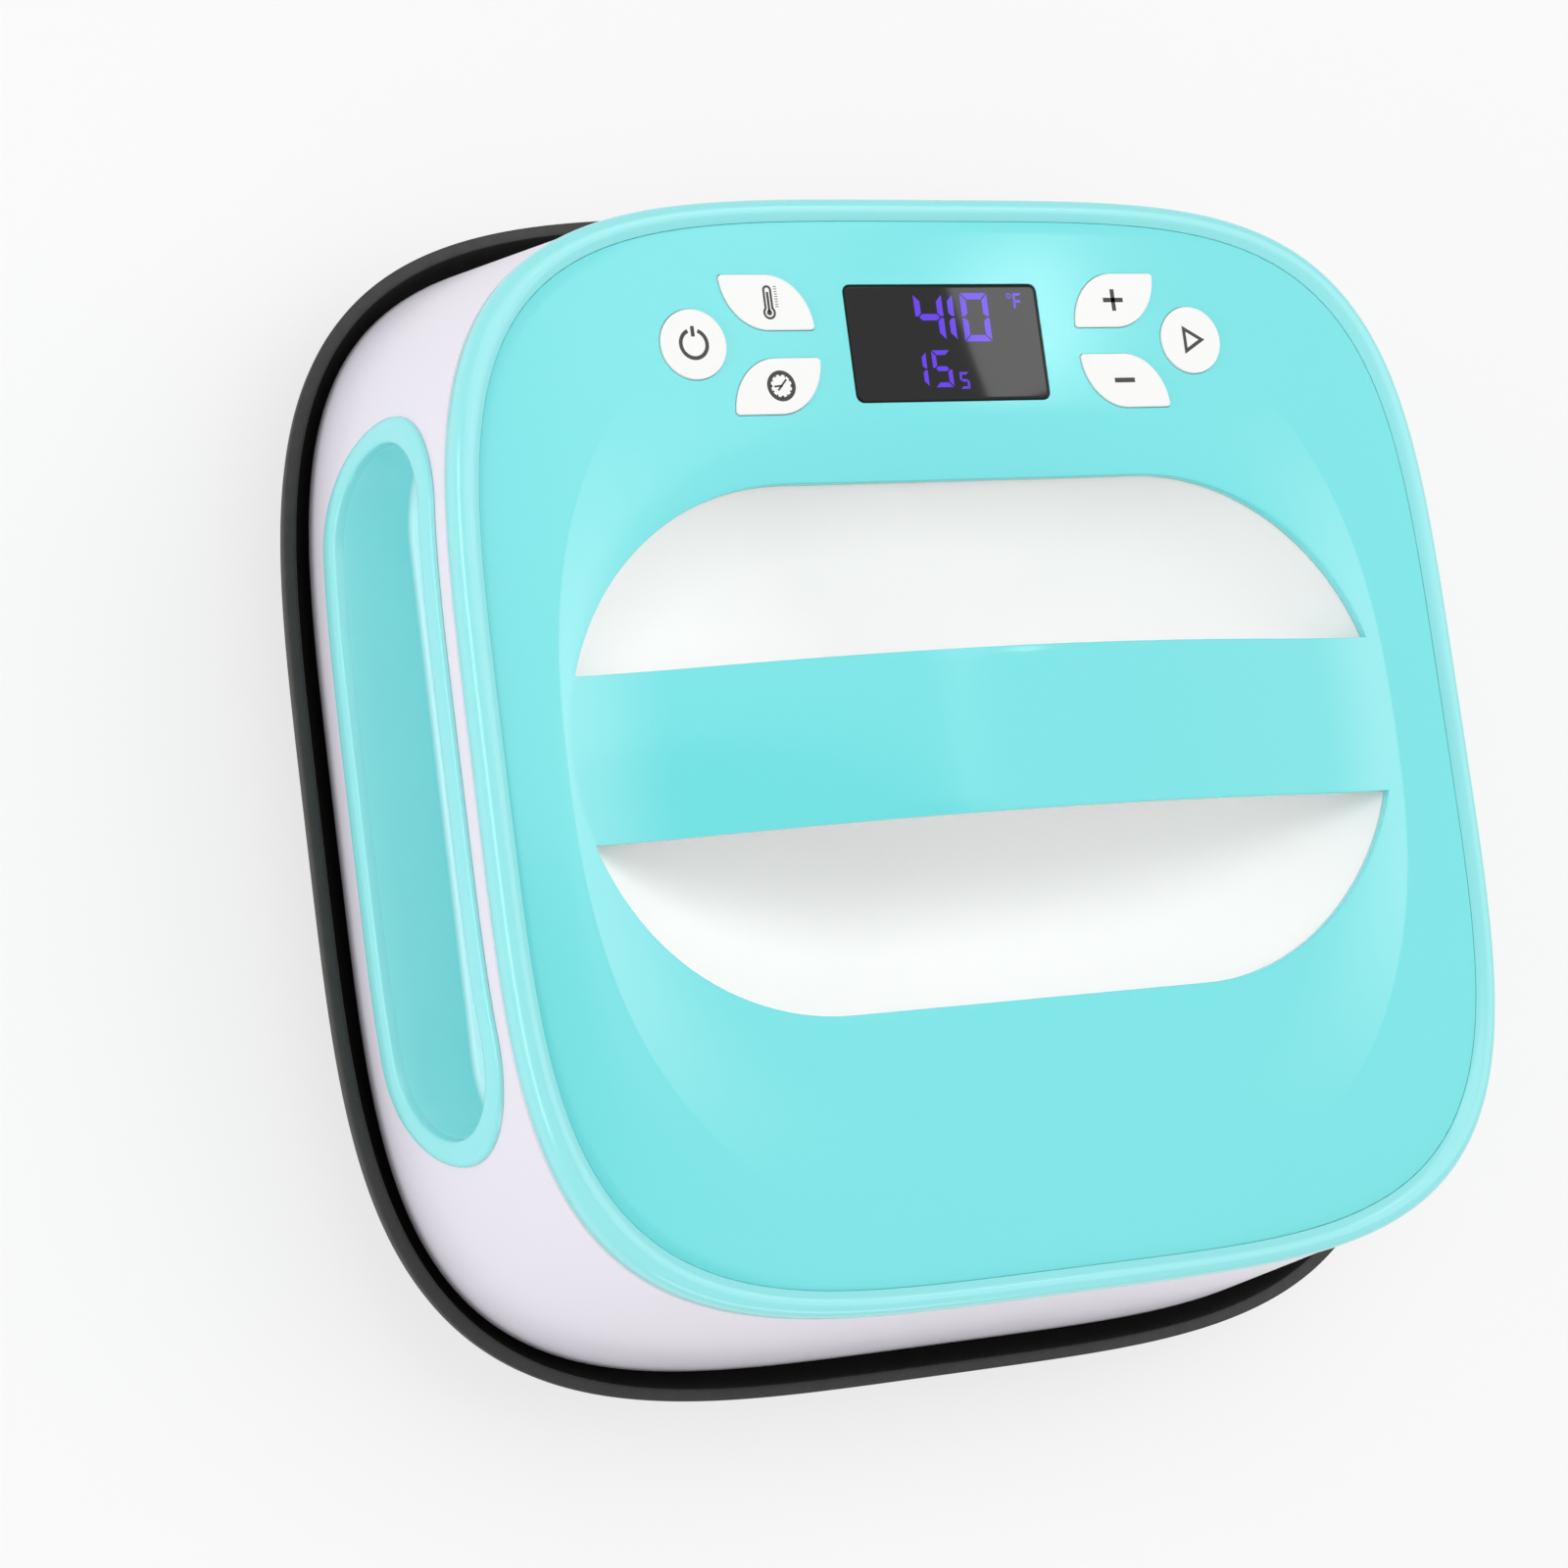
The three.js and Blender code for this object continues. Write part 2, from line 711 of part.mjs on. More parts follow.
function bottomCover() {
  const profile = [
    [0, coverBottom],
    [coverHalf, coverBottom],
    [coverHalf, coverTop],
    [0, coverTop],
  ];
  const holeSide = plateSide + coverPlateGap * 2;
  const hole = roundedRectangle(holeSide, holeSide, plateCorner + coverPlateGap);
  let cover = turnedSolid(profile, pressOutline, depthShare);
  cover = cover.subtract(slab(hole, coverBottom - cutOverrun, coverTop + cutOverrun, 4));
  coverScrewPlaces.forEach(([x, y], i) => {
    const high = coverTop + cutOverrun;
    cover = cover.subtract(post(smallScrewRadius + seatGap, coverBottom - cutOverrun, high, x, y, 8));
    const head = coverBottom - seatGap;
    const shaft = post(smallScrewRadius, head - smallHeadHeight / 2, coverBottom + smallScrewLength, 0, 0, 8);
    const screw = shaft.add(post(smallHeadRadius, head - smallHeadHeight, head, 0, 0, 8));
    place(`cover_screw_${i + 1}`, screw, steel, x, y);
  });
  place("bottom_cover", cover, white);
}

// Rim: a rounded bead with an inward ledge that the face panel lies on
const beadShares = [
  [0, 0],
  [0, 0.45],
  [0.16, 0.8],
  [0.5, 1],
  [0.84, 0.94],
  [1, 0.76],
];

function rimBezel() {
  const bottom = parting + seatGap;
  const bead = beadShares.map(([inShare, upShare]) => [
    faceHalf - rimWidth * inShare,
    bottom + (rimHeight - seatGap) * upShare,
  ]);
  const ledge = [
    [faceHalf - rimWidth, rimLedgeTop],
    [ledgeHalf, rimLedgeTop],
    [ledgeHalf, bottom],
  ];
  let rim = turnedSolid([...bead, ...ledge, bead[0]], pressOutline, depthShare);
  screwPlaces.forEach(([x, y]) => {
    const notch = post(panelBossRadius + seatGap, parting, rimLedgeTop + seatGap / 2, x, y);
    rim = rim.subtract(notch);
  });
  place("rim_bezel", rim, mint);
}

// The face sinks in a shallow dish around the wells, and the handle arches up out of it
function smoothStep(value) {
  const t = Math.min(Math.max(value, 0), 1);
  return t * t * (3 - 2 * t);
}
const dishPower = 3;
const dishBlendShare = 0.25;
const archPower = 1.2;

function dishAt(x, y) {
  const dishMiddle = (dishBack - dishFront) / 2;
  const dishHalfY = (dishBack + dishFront) / 2;
  const across = Math.abs(x / dishHalfX) ** dishPower;
  const along = Math.abs((y - dishMiddle) / dishHalfY) ** dishPower;
  const edge = (across + along) ** (1 / dishPower);
  return dishDepth * smoothStep((1 - edge) / dishBlendShare);
}

// Rise of the handle bar over its ends, with the dish that it starts in
function handleRise(x, y) {
  const spanShare = Math.min(Math.abs(x) / wellEdgeX(y), 1);
  return handleArch * (1 - spanShare ** 2) ** archPower - dishAt(x, y);
}

// Half length of the well at a distance y from its middle
function wellEdgeX(y) {
  return wellHalfLength - wellRadius + Math.sqrt(Math.max(wellRadius ** 2 - y ** 2, 0));
}

function raised(geometry, rise) {
  const at = geometry.attributes.position;
  for (let i = 0; i < at.count; i += 1) {
    at.setZ(i, at.getZ(i) + rise(at.getX(i), at.getY(i)));
  }
  return geometry;
}

// Outline of a leaf button: two sharp corners and two long quarter-ellipse sides
function leafShape(grow) {
  const x = leafWidth / 2 + grow;
  const y = leafHeight / 2 + grow;
  const shape = new THREE.Shape();
  shape.moveTo(-x, y);
  shape.lineTo(0, y);
  shape.absellipse(0, -y, x, y * 2, Math.PI / 2, 0, true);
  shape.lineTo(0, -y);
  shape.absellipse(0, y, x, y * 2, Math.PI * 1.5, Math.PI, true);
  return shape;
}

// Name, place, mirror signs and outline of every button
const leafRows = { up: buttonRowY + leafRise, down: buttonRowY - leafRise };
const buttons = [
  { name: "power_button", x: -roundX, y: buttonRowY },
  { name: "start_button", x: roundX, y: buttonRowY },
  { name: "temperature_button", x: -leafX, y: leafRows.up, flip: [1, 1] },
  { name: "timer_button", x: -leafX, y: leafRows.down, flip: [1, -1] },
  { name: "plus_button", x: leafX, y: leafRows.up, flip: [-1, 1] },
  { name: "minus_button", x: leafX, y: leafRows.down, flip: [-1, -1] },
];

function buttonPrism(button, grow, bottom, top) {
  if (!button.flip) return post(roundRadius + grow, bottom, top, 0, 0, 24);
  const leaf = geometryOf(slab(leafShape(grow), bottom, top, 6));
  return solid(leaf.scale(button.flip[0], button.flip[1], 1));
}

function buttonCaps() {
  buttons.forEach((button) => {
    const cap = buttonPrism(button, 0, capBottom, panelTop + buttonProud);
    const flange = buttonPrism(button, buttonFlange, capBottom, capBottom + buttonFlangeThick);
    const stem = post(stemRadius, stemBottom, capBottom + buttonFlangeThick / 2);
    place(button.name, cap.add(flange).add(stem), white, button.x, button.y);
  });
}

function tactSwitches() {
  buttons.forEach((button) => {
    const bottom = boardTop + seatGap;
    const body = block(switchSide, switchSide, bottom, bottom + switchHeight);
    const plunger = post(plungerRadius, bottom, plungerTop, 0, 0, 8);
    const name = button.name.replace("button", "switch");
    place(name, body.add(plunger), black, button.x, button.y);
  });
}

// Handle bar: the panel's own skin, arched from one end of the wells to the other
const barSteps = 24;
const barAcross = 2;

function handleBar() {
  const geometry = new THREE.BoxGeometry(2, 2, panelThick, barSteps, barAcross, 1);
  geometry.scale(wellHalfLength + panelThick, handleHalf, 1);
  geometry.translate(0, 0, panelTop - panelThick / 2);
  return solid(raised(geometry, handleRise));
}

// Face panel with the handle bar in one piece
const panelStationShares = [0.46, 0.56, 0.66, 0.76, 0.88, 1];

function facePanel() {
  const top = panelStationShares.map((share) => [panelHalf * share, panelTop]);
  const under = panelStationShares.map((share) => [panelHalf * share, panelBottom]).reverse();
  const profile = [[0, panelTop], ...top, ...under, [0, panelBottom]];
  const disc = turned(profile, pressOutline, depthShare);
  const high = panelTop + cutOverrun;
  const well = slab(stadiumShape(wellHalfLength, wellRadius), bowlRim - cutOverrun, high, 16);
  const face = solid(raised(disc, (x, y) => -dishAt(x, y)));
  let panel = face.subtract(well).add(handleBar());
  boardPostPlaces.forEach(([x, y]) => {
    panel = panel.add(post(boardPostRadius, boardTop + seatGap, panelBottom + panelThick / 2, x, y, 8));
    const tip = boardBottom + smallScrewLength + seatGap;
    panel = panel.subtract(post(smallScrewRadius + seatGap, boardTop, tip, x, y, 8));
  });
  screwPlaces.forEach(([x, y]) => {
    const bottom = parting + seatGap * 2;
    const middle = panelTop - panelThick / 2;
    panel = panel.add(post(panelBossRadius, bottom, middle, x, y));
    panel = panel.subtract(post(caseScrewRadius + seatGap, parting, middle, x, y));
  });
  buttons.forEach((button) => {
    const hole = buttonPrism(button, buttonGap, panelBottom - cutOverrun, panelTop + cutOverrun);
    const placed = geometryOf(hole).translate(button.x, button.y, 0);
    panel = panel.subtract(solid(placed));
  });
  const width = windowWidth + windowGap * 2;
  const height = windowHeight + windowGap * 2;
  const windowHole = block(width, height, panelBottom - cutOverrun, panelTop + cutOverrun, 0, windowY);
  place("face_panel", panel.subtract(windowHole), mint);
}

// Underside of the grip: follows the arch above and is rounded below
const gripSteps = 16;
const gripAcross = 6;
const bellyPower = 0.6;

function gripUnderside() {
  const geometry = new THREE.BoxGeometry(2, 2, 1, gripSteps, gripAcross, 1);
  const at = geometry.attributes.position;
  for (let i = 0; i < at.count; i += 1) {
    const along = at.getX(i);
    const across = at.getY(i);
    const x = along * gripHalfLength;
    const y = across * (handleHalf - gripInset);
    const top = panelBottom + handleRise(x, y) - seatGap;
    const fullness = (1 - across ** 2) ** bellyPower * (1 - along ** 2) ** bellyPower;
    const z = at.getZ(i) > 0 ? top : top - gripEdge - gripBelly * fullness;
    at.setXYZ(i, x, y, z);
  }
  place("grip_underside", solid(geometry), white);
}

// White bowl under the handle
const bowlStationShares = [0.97, 0.9, 0.8, 0.66, 0.45];
const bowlPower = 2.6;

function handWell() {
  const levelAt = (share) => bowlRim - bowlDepth * (1 - share ** bowlPower);
  const inner = bowlStationShares.map((share) => [wellHalfLength * share, levelAt(share)]);
  const outer = inner.map(([radius, z]) => [radius, z - bowlWall]);
  const flange = wellHalfLength + bowlFlange;
  const profile = [
    [0, levelAt(0)],
    ...[...inner].reverse(),
    [wellHalfLength, bowlRim],
    [flange, bowlRim],
    [flange, bowlRim - bowlWall],
    [wellHalfLength, bowlRim - bowlWall],
    ...outer,
    [0, levelAt(0) - bowlWall],
  ];
  const halfStep = Math.PI / stadiumSteps;
  place("hand_well", turnedSolid(profile, stadiumOutline, 1, stadiumSteps, halfStep), white);
}

// Display window and the module behind it
function display() {
  const glass = block(windowWidth, windowHeight, panelBottom, panelTop + windowProud, 0, windowY);
  place("display_window", glass, darkGlass);
  const width = windowWidth + moduleMargin * 2;
  const height = windowHeight + moduleMargin * 2;
  const module = block(width, height, boardTop + seatGap, panelBottom - seatGap, 0, windowY);
  place("display_module", module, black);
}

function controlBoard() {
  let board = block(boardHalfWidth * 2, boardDepth, boardBottom, boardTop, 0, boardY);
  boardPostPlaces.forEach(([x, y], i) => {
    const high = boardTop + cutOverrun;
    board = board.subtract(post(smallScrewRadius + seatGap, boardBottom - cutOverrun, high, x, y, 8));
    const head = boardBottom - seatGap;
    const shaft = post(smallScrewRadius, head - smallHeadHeight / 2, boardBottom + smallScrewLength, 0, 0, 8);
    const screw = shaft.add(post(smallHeadRadius, head - smallHeadHeight, head, 0, 0, 8));
    place(`board_screw_${i + 1}`, screw, steel, x, y);
  });
  place("control_board", board, greenBoard);
  const buzzer = post(buzzerRadius, boardBottom - seatGap - buzzerHeight, boardBottom - seatGap);
  place("buzzer", buzzer, black, 0, boardY);
}

// Power board with its parts side by side along X, and the ribbon up to the control board
const relayXShare = -0.62;
const transformerXShare = 0;
const sinkXShare = 0.68;

function powerBoard() {
  const body = block(powerWidth, powerDepth, powerBottom, powerTop, 0, -powerY);
  place("power_board", body, greenBoard);
  const onBoard = (name, [width, depth, height], share, material) => {
    const bottom = powerTop + seatGap;
    const part = block(width, depth, bottom, bottom + height);
    place(name, part, material, (share * powerWidth) / 2, -powerY - (powerDepth - transformerSize[1]) / 4);
  };
  onBoard("relay", relaySize, relayXShare, finish(0x2f5fa8, 0.5));
  onBoard("transformer", transformerSize, transformerXShare, grey);
  onBoard("heat_sink", sinkSize, sinkXShare, aluminium);
}

function ribbonCable() {
  const rear = boardY - boardDepth / 4;
  const front = powerDepth / 2 - powerY - ribbonThick * 2;
  const low = powerTop + ribbonLift;
  const shape = new THREE.Shape();
  shape.moveTo(rear, boardBottom - seatGap);
  shape.lineTo(rear - ribbonThick, boardBottom - seatGap);
  shape.lineTo(rear - ribbonThick, low);
  shape.lineTo(front - ribbonThick, low);
  shape.lineTo(front - ribbonThick, powerTop + seatGap);
  shape.lineTo(front, powerTop + seatGap);
  shape.lineTo(front, low - ribbonThick);
  shape.lineTo(rear, low - ribbonThick);
  shape.closePath();
  const options = { depth: ribbonWidth, bevelEnabled: false };
  const geometry = new THREE.ExtrudeGeometry(shape, options);
  geometry.rotateX(Math.PI / 2);
  geometry.rotateZ(Math.PI / 2);
  geometry.translate(ribbonX - ribbonWidth / 2, 0, 0);
  place("ribbon_cable", solid(geometry), grey);
}

baseTray();
baseFeet();
heatPlate();
heaterTube();
heaterTerminals();
plateSensors();
insulation();
standoffs();
heatShield();
caseScrews();
bottomCover();
bodyShell();
sidePockets();
cordGland();
rimBezel();
facePanel();
gripUnderside();
handWell();
buttonCaps();
tactSwitches();
display();
controlBoard();
powerBoard();
ribbonCable();

export default press;
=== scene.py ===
# %% [markdown]
# # A portable heat press in its base tray
#
# A craft heat press irons a print onto cloth. It is a square hot plate under a hand-held case, and
# it rests in a heat-proof tray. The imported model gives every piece's place and size. This scene
# lays the finished surfaces over it: the mint face with its arched handle, the white case, the
# pockets at the sides, the buttons, the display and the textured tray.

from functools import partial

import bmesh
import bpy
import numpy as np
from mathutils import Matrix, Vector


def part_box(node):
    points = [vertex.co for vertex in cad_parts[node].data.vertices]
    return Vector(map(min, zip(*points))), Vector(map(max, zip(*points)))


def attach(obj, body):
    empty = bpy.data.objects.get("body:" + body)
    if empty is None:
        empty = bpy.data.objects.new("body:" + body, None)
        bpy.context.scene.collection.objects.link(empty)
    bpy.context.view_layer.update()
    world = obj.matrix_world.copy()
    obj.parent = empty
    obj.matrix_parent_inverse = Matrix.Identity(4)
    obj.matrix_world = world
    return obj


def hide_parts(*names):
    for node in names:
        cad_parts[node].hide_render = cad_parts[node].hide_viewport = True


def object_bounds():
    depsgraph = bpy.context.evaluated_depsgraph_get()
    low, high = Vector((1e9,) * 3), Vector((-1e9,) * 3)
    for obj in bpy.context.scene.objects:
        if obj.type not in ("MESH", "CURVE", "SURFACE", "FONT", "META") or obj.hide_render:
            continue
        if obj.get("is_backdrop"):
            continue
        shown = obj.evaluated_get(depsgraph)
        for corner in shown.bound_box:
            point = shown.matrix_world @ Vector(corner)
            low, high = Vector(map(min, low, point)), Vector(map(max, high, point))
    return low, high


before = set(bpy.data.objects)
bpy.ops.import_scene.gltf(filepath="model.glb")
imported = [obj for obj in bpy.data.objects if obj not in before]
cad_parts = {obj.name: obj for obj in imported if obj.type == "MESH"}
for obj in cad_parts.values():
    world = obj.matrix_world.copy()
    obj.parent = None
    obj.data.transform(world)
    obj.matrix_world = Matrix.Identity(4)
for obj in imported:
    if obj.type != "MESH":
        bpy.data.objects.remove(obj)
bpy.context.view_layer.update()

# %% [markdown]
# ## Sizes
#
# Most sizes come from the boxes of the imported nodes, so that each surface lands where its solid is.
# The few that a box can't give, such as a corner's shape or a wall, are named here once, in metres.
# The alternative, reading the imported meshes' points, would tie the scene to their facets.

# %% Sizes and places
MM = 0.001
SEAT_GAP = 0.3 * MM

rim_low, rim_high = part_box("rim_bezel")
shell_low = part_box("body_shell")[0]
panel_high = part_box("face_panel")[1]
tray_low, tray_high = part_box("base_tray")

FACE_HALF = rim_high.x
DEPTH_SHARE = rim_high.y / rim_high.x
PRESS_POWER = 4.2
TRAY_POWER = 3.9
COLUMNS = 384
PARTING = rim_low.z - SEAT_GAP
CROWN = rim_high.z
RIM_WIDTH = 6.2 * MM
RIM_LEDGE = PARTING + 3.4 * MM
LEDGE_HALF = FACE_HALF - 11 * MM

SHELL_FOOT = shell_low.z
SHELL_HEIGHT = PARTING - SHELL_FOOT
SHELL_FLARE = 9.2 * MM
SHELL_WALL = 2.6 * MM

PANEL_HALF = panel_high.x
PANEL_TOP = PARTING + 6.5 * MM
PANEL_THICK = 2.5 * MM
HANDLE_ARCH = panel_high.z - PANEL_TOP + 1.7 * MM
HANDLE_HALF = 20.6 * MM

WELL_HALF = PANEL_HALF - 17.3 * MM
WELL_RADIUS = 66.7 * MM
DISH_DEPTH = 1.7 * MM
DISH_HALF_X = WELL_HALF + 3.8 * MM
DISH_BACK = WELL_RADIUS + 17.3 * MM
DISH_FRONT = WELL_RADIUS + 60 * MM
DISH_FADE = (-134 * MM, -55 * MM)
print("face half", round(FACE_HALF / MM, 2), "mm, parting at", round(PARTING / MM, 2), "mm")

# %% [markdown]
# ## Camera
#
# The camera stands where the photographer's did: ahead and to the left of the press, well above
# it, and turned so that the far edge of the face points up in the picture. The lens is longer than
# normal, so the square case keeps its shape.

# %% Camera
CAMERA_PLACE = (-0.5248, -0.1403, PARTING + 0.9097)
CAMERA_RIGHT = (0.8904, -0.12866, 0.43665)
CAMERA_UP = (0.05742, 0.98332, 0.17265)
CAMERA_LENS = 95.85
SENSOR_WIDTH = 36

camera_data = bpy.data.cameras.new("camera")
camera_data.lens = CAMERA_LENS
camera_data.sensor_width = SENSOR_WIDTH
camera = bpy.data.objects.new("camera", camera_data)
bpy.context.scene.collection.objects.link(camera)
right = np.array(CAMERA_RIGHT) / np.linalg.norm(CAMERA_RIGHT)
back = np.cross(right, CAMERA_UP)
back /= np.linalg.norm(back)
turned = np.eye(4)
turned[:3, 0], turned[:3, 1], turned[:3, 2] = right, np.cross(back, right), back
turned[:3, 3] = CAMERA_PLACE
camera.matrix_world = Matrix(turned.tolist())
bpy.context.scene.camera = camera
bpy.context.scene.view_settings.view_transform = "Standard"
print("camera at", [round(float(v), 3) for v in CAMERA_PLACE])

# %% [markdown]
# ## From numbers to a mesh
#
# Every shape here is a grid of points worked out as whole arrays, which keeps its formula in sight
# and is quick. Helpers turn a grid into quads and patches of quads into a closed mesh: points that
# coincide are welded, so that poles and seams close, and the faces are turned outwards afterwards.

# %% Grid and mesh helpers
SMOOTH_ANGLE = np.radians(32)
WELD = 1e-7


def grid_quads(rows, columns, wrap_rows=False, wrap_columns=False, start=0):
    """Quads that join each grid point to its right, upper right and upper neighbours."""
    row = np.arange(rows if wrap_rows else rows - 1)
    column = np.arange(columns if wrap_columns else columns - 1)
    i, j = np.meshgrid(row, column, indexing="ij")
    i_next, j_next = (i + 1) % rows, (j + 1) % columns
    corners = [i * columns + j, i * columns + j_next, i_next * columns + j_next, i_next * columns + j]
    return (np.stack(corners, -1) + start).reshape(-1, 4)


def merge_patches(patches):
    """Puts several patches into one. A patch is its points with one array of faces or a list of
    arrays; the corner numbers move on by the count of the points before."""
    points, faces, count = [], [], 0
    for patch_points, groups in patches:
        patch_points = np.asarray(patch_points).reshape(-1, 3)
        points.append(patch_points)
        for group in groups if isinstance(groups, list) else [groups]:
            faces.extend((group + count).tolist())
        count += len(patch_points)
    return np.concatenate(points), faces


def finish_normals(mesh):
    """Welds coinciding points, turns the faces outwards and marks edges sharper than an angle."""
    work = bmesh.new()
    work.from_mesh(mesh)
    bmesh.ops.remove_doubles(work, verts=work.verts, dist=WELD)
    bmesh.ops.recalc_face_normals(work, faces=work.faces)
    work.to_mesh(mesh)
    work.free()
    mesh.shade_smooth()
    mesh.set_sharp_from_angle(angle=SMOOTH_ANGLE)


def make_object(name, patches):
    """A mesh object at the origin from one or more patches."""
    points, faces = merge_patches(patches)
    mesh = bpy.data.meshes.new(name)
    mesh.from_pydata(points.tolist(), [], faces)
    finish_normals(mesh)
    piece = bpy.data.objects.new(name, mesh)
    bpy.context.scene.collection.objects.link(piece)
    return piece


print("edges sharper than", round(float(np.degrees(SMOOTH_ANGLE))), "degrees stay sharp")

# %% [markdown]
# ## Cutting a piece and placing it
#
# Holes are cut with Blender's exact boolean, because a hole's outline rarely follows the grid that
# it goes through. A finished piece rides the body that moves it, and the imported nodes that it
# stands for are hidden.

# %% Cutting and placing
def apply_modifiers(piece):
    """Puts the modifiers' result into the mesh and clears them."""
    shown = piece.evaluated_get(bpy.context.evaluated_depsgraph_get())
    finished = bpy.data.meshes.new_from_object(shown)
    piece.modifiers.clear()
    piece.data = finished
    finish_normals(finished)


def cut(piece, cutters):
    """Cuts closed meshes out of a piece and removes them."""
    for cutter in cutters:
        boolean = piece.modifiers.new("cut", "BOOLEAN")
        boolean.operation = "DIFFERENCE"
        boolean.solver = "EXACT"
        boolean.object = cutter
    apply_modifiers(piece)
    for cutter in cutters:
        bpy.data.objects.remove(cutter)


def place(piece, body, material, slot, *nodes):
    """Gives a piece its material and its body, and hides the nodes that it stands for; the slot is not
    used.
    """
    piece.data.materials.clear()
    piece.data.materials.append(material)
    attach(piece, body)
    if nodes:
        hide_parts(*nodes)
    print(piece.name, len(piece.data.polygons), "faces")


print("helpers ready")

# %% [markdown]
# ## Outlines
#
# The case, the face and the tray share one kind of outline. It is almost straight along each side
# and round at the corners, which is a superellipse: the powers of x and y add up to one. One number
# sets how square it is, where a rectangle with round corners would show where each arc begins.

# %% The superellipse and what follows it
def superellipse(angle, power):
    """The point in one direction where |x|^power + |y|^power = 1."""
    across, along = np.cos(angle), np.sin(angle)
    reach = (np.abs(across) ** power + np.abs(along) ** power) ** (-1 / power)
    return np.stack([across * reach, along * reach], -1)


def full_turn(count, power):
    """The superellipse at evenly spaced directions, with y narrowed to the press's share."""
    points = superellipse(np.arange(count) / count * 2 * np.pi, power)
    return points * [1, DEPTH_SHARE]


def ring_around(section, outline):
    """Sweeps a closed [half width, level] section round an outline: x and y scale with half width."""
    section = np.asarray(section)
    flat = section[:, None, :1] * outline[None, :, :]
    level = np.broadcast_to(section[:, None, 1:], flat.shape[:2] + (1,))
    rows, columns = flat.shape[:2]
    return np.concatenate([flat, level], -1), grid_quads(rows, columns, True, True)


press_turn = full_turn(COLUMNS, PRESS_POWER)
print("outline points", len(press_turn))

# %% [markdown]
# Smaller openings and pieces are made of circles' arcs. A stadium is two half circles joined by
# straight sides, which is the shape of the hand wells and of the side pockets. Any closed outline
# becomes a solid by stacking copies of it at different levels and widths.

# %% Arcs, stadiums and stacks of rings
def lift(points, level):
    """Gives flat points a level."""
    points = np.asarray(points)
    return np.concatenate([points, np.full((len(points), 1), level)], -1)


def stack_rings(rings):
    """Joins rings of equal count one above the other; each end closes in one many-sided face."""
    rows, columns = len(rings), len(rings[0])
    bottom = np.arange(columns)[None]
    top = bottom + (rows - 1) * columns
    return np.concatenate(rings), [grid_quads(rows, columns, False, True), bottom, top]


def arc(centre, radius, start, stop, steps):
    """Points on a circle's arc, with the angles in degrees."""
    angle = np.radians(np.linspace(start, stop, steps))
    return np.stack([centre[0] + radius * np.cos(angle), centre[1] + radius * np.sin(angle)], -1)


def stadium(half_length, radius, steps=32, straight_steps=32):
    """Two half circles joined by straight sides, evenly stepped on each, from the lower right."""
    straight = half_length - radius
    ease = np.linspace(1, -1, straight_steps + 2)[1:-1, None]
    top = np.concatenate([ease * straight, np.full_like(ease, radius)], -1)
    return np.concatenate([
        arc((straight, 0), radius, -90, 90, steps),
        top,
        arc((-straight, 0), radius, 90, 270, steps),
        -top,
    ])


def circle(radius, steps=64):
    """A full circle round the middle, evenly stepped."""
    return arc((0, 0), radius, 0, 360 - 360 / steps, steps)


def rounded_box(half_x, half_y, corner, steps=8):
    """A rectangle with round corners: four quarter circles in turn."""
    return np.concatenate([
        arc((half_x - corner, corner - half_y), corner, -90, 0, steps),
        arc((half_x - corner, half_y - corner), corner, 0, 90, steps),
        arc((corner - half_x, half_y - corner), corner, 90, 180, steps),
        arc((corner - half_x, corner - half_y), corner, 180, 270, steps),
    ])


print("stadium points", len(stadium(WELL_HALF, WELL_RADIUS)))

# %% [markdown]
# ## The face
#
# The face is one mint moulding about 2.5 mm thick. It sinks in a shallow dish round the wells, and
# between the wells it arches up into the handle. Both are heights over the flat, so two formulas
# give them at any place, and everything that has to meet the face later asks the same formulas.

# %% Height of the face
DISH_POWER = 3
DISH_BLEND = 0.25
ARCH_POWER = 1.2


def smooth_step(value):
    """Goes from 0 to 1 with level ends."""
    share = np.clip(value, 0, 1)
    return share * share * (3 - 2 * share)


def dish_at(x, y):
    """How far the face sinks: nothing outside a rounded border and all of it well inside.

    Towards the front the dish runs out little by little."""
    middle = (DISH_BACK - DISH_FRONT) / 2
    half = (DISH_BACK + DISH_FRONT) / 2
    across = np.abs(x / DISH_HALF_X) ** DISH_POWER
    along = np.abs((y - middle) / half) ** DISH_POWER
    edge = (across + along) ** (1 / DISH_POWER)
    fade = smooth_step((y - DISH_FADE[0]) / (DISH_FADE[1] - DISH_FADE[0]))
    return DISH_DEPTH * fade * smooth_step((1 - edge) / DISH_BLEND)


def well_edge_x(y):
    """Half length of the stadium at a distance y from its middle."""
    return WELL_HALF - WELL_RADIUS + np.sqrt(np.maximum(WELL_RADIUS**2 - y**2, 0))


def handle_rise(x, y):
    """Rise of the handle over the face: an arch with level ends, less the dish that it starts in."""
    share = np.clip(np.abs(x) / well_edge_x(y), 0, 1)
    return HANDLE_ARCH * (1 - share**2) ** ARCH_POWER - dish_at(x, y)


print("handle top", round((PANEL_TOP + handle_rise(0.0, 0.0)) / MM, 2), "mm")

# %% [markdown]
# ### Face and handle in one skin
#
# The real handle grows out of the face with no seam. A plate and a bar joined by a boolean would
# leave a line there. So the top is a ring of quads from the wells' stadium out to the face's
# outline, and a strip of quads that bridges the stadium, and both share their points where they meet.

# %% Face and handle grids
HANDLE_ROWS = 12
HANDLE_COLUMNS = 160
FACE_ROWS = 22
STRAIGHT_STEPS = 16
END_STEPS = 25
FACE_GAP = 0.04 * MM

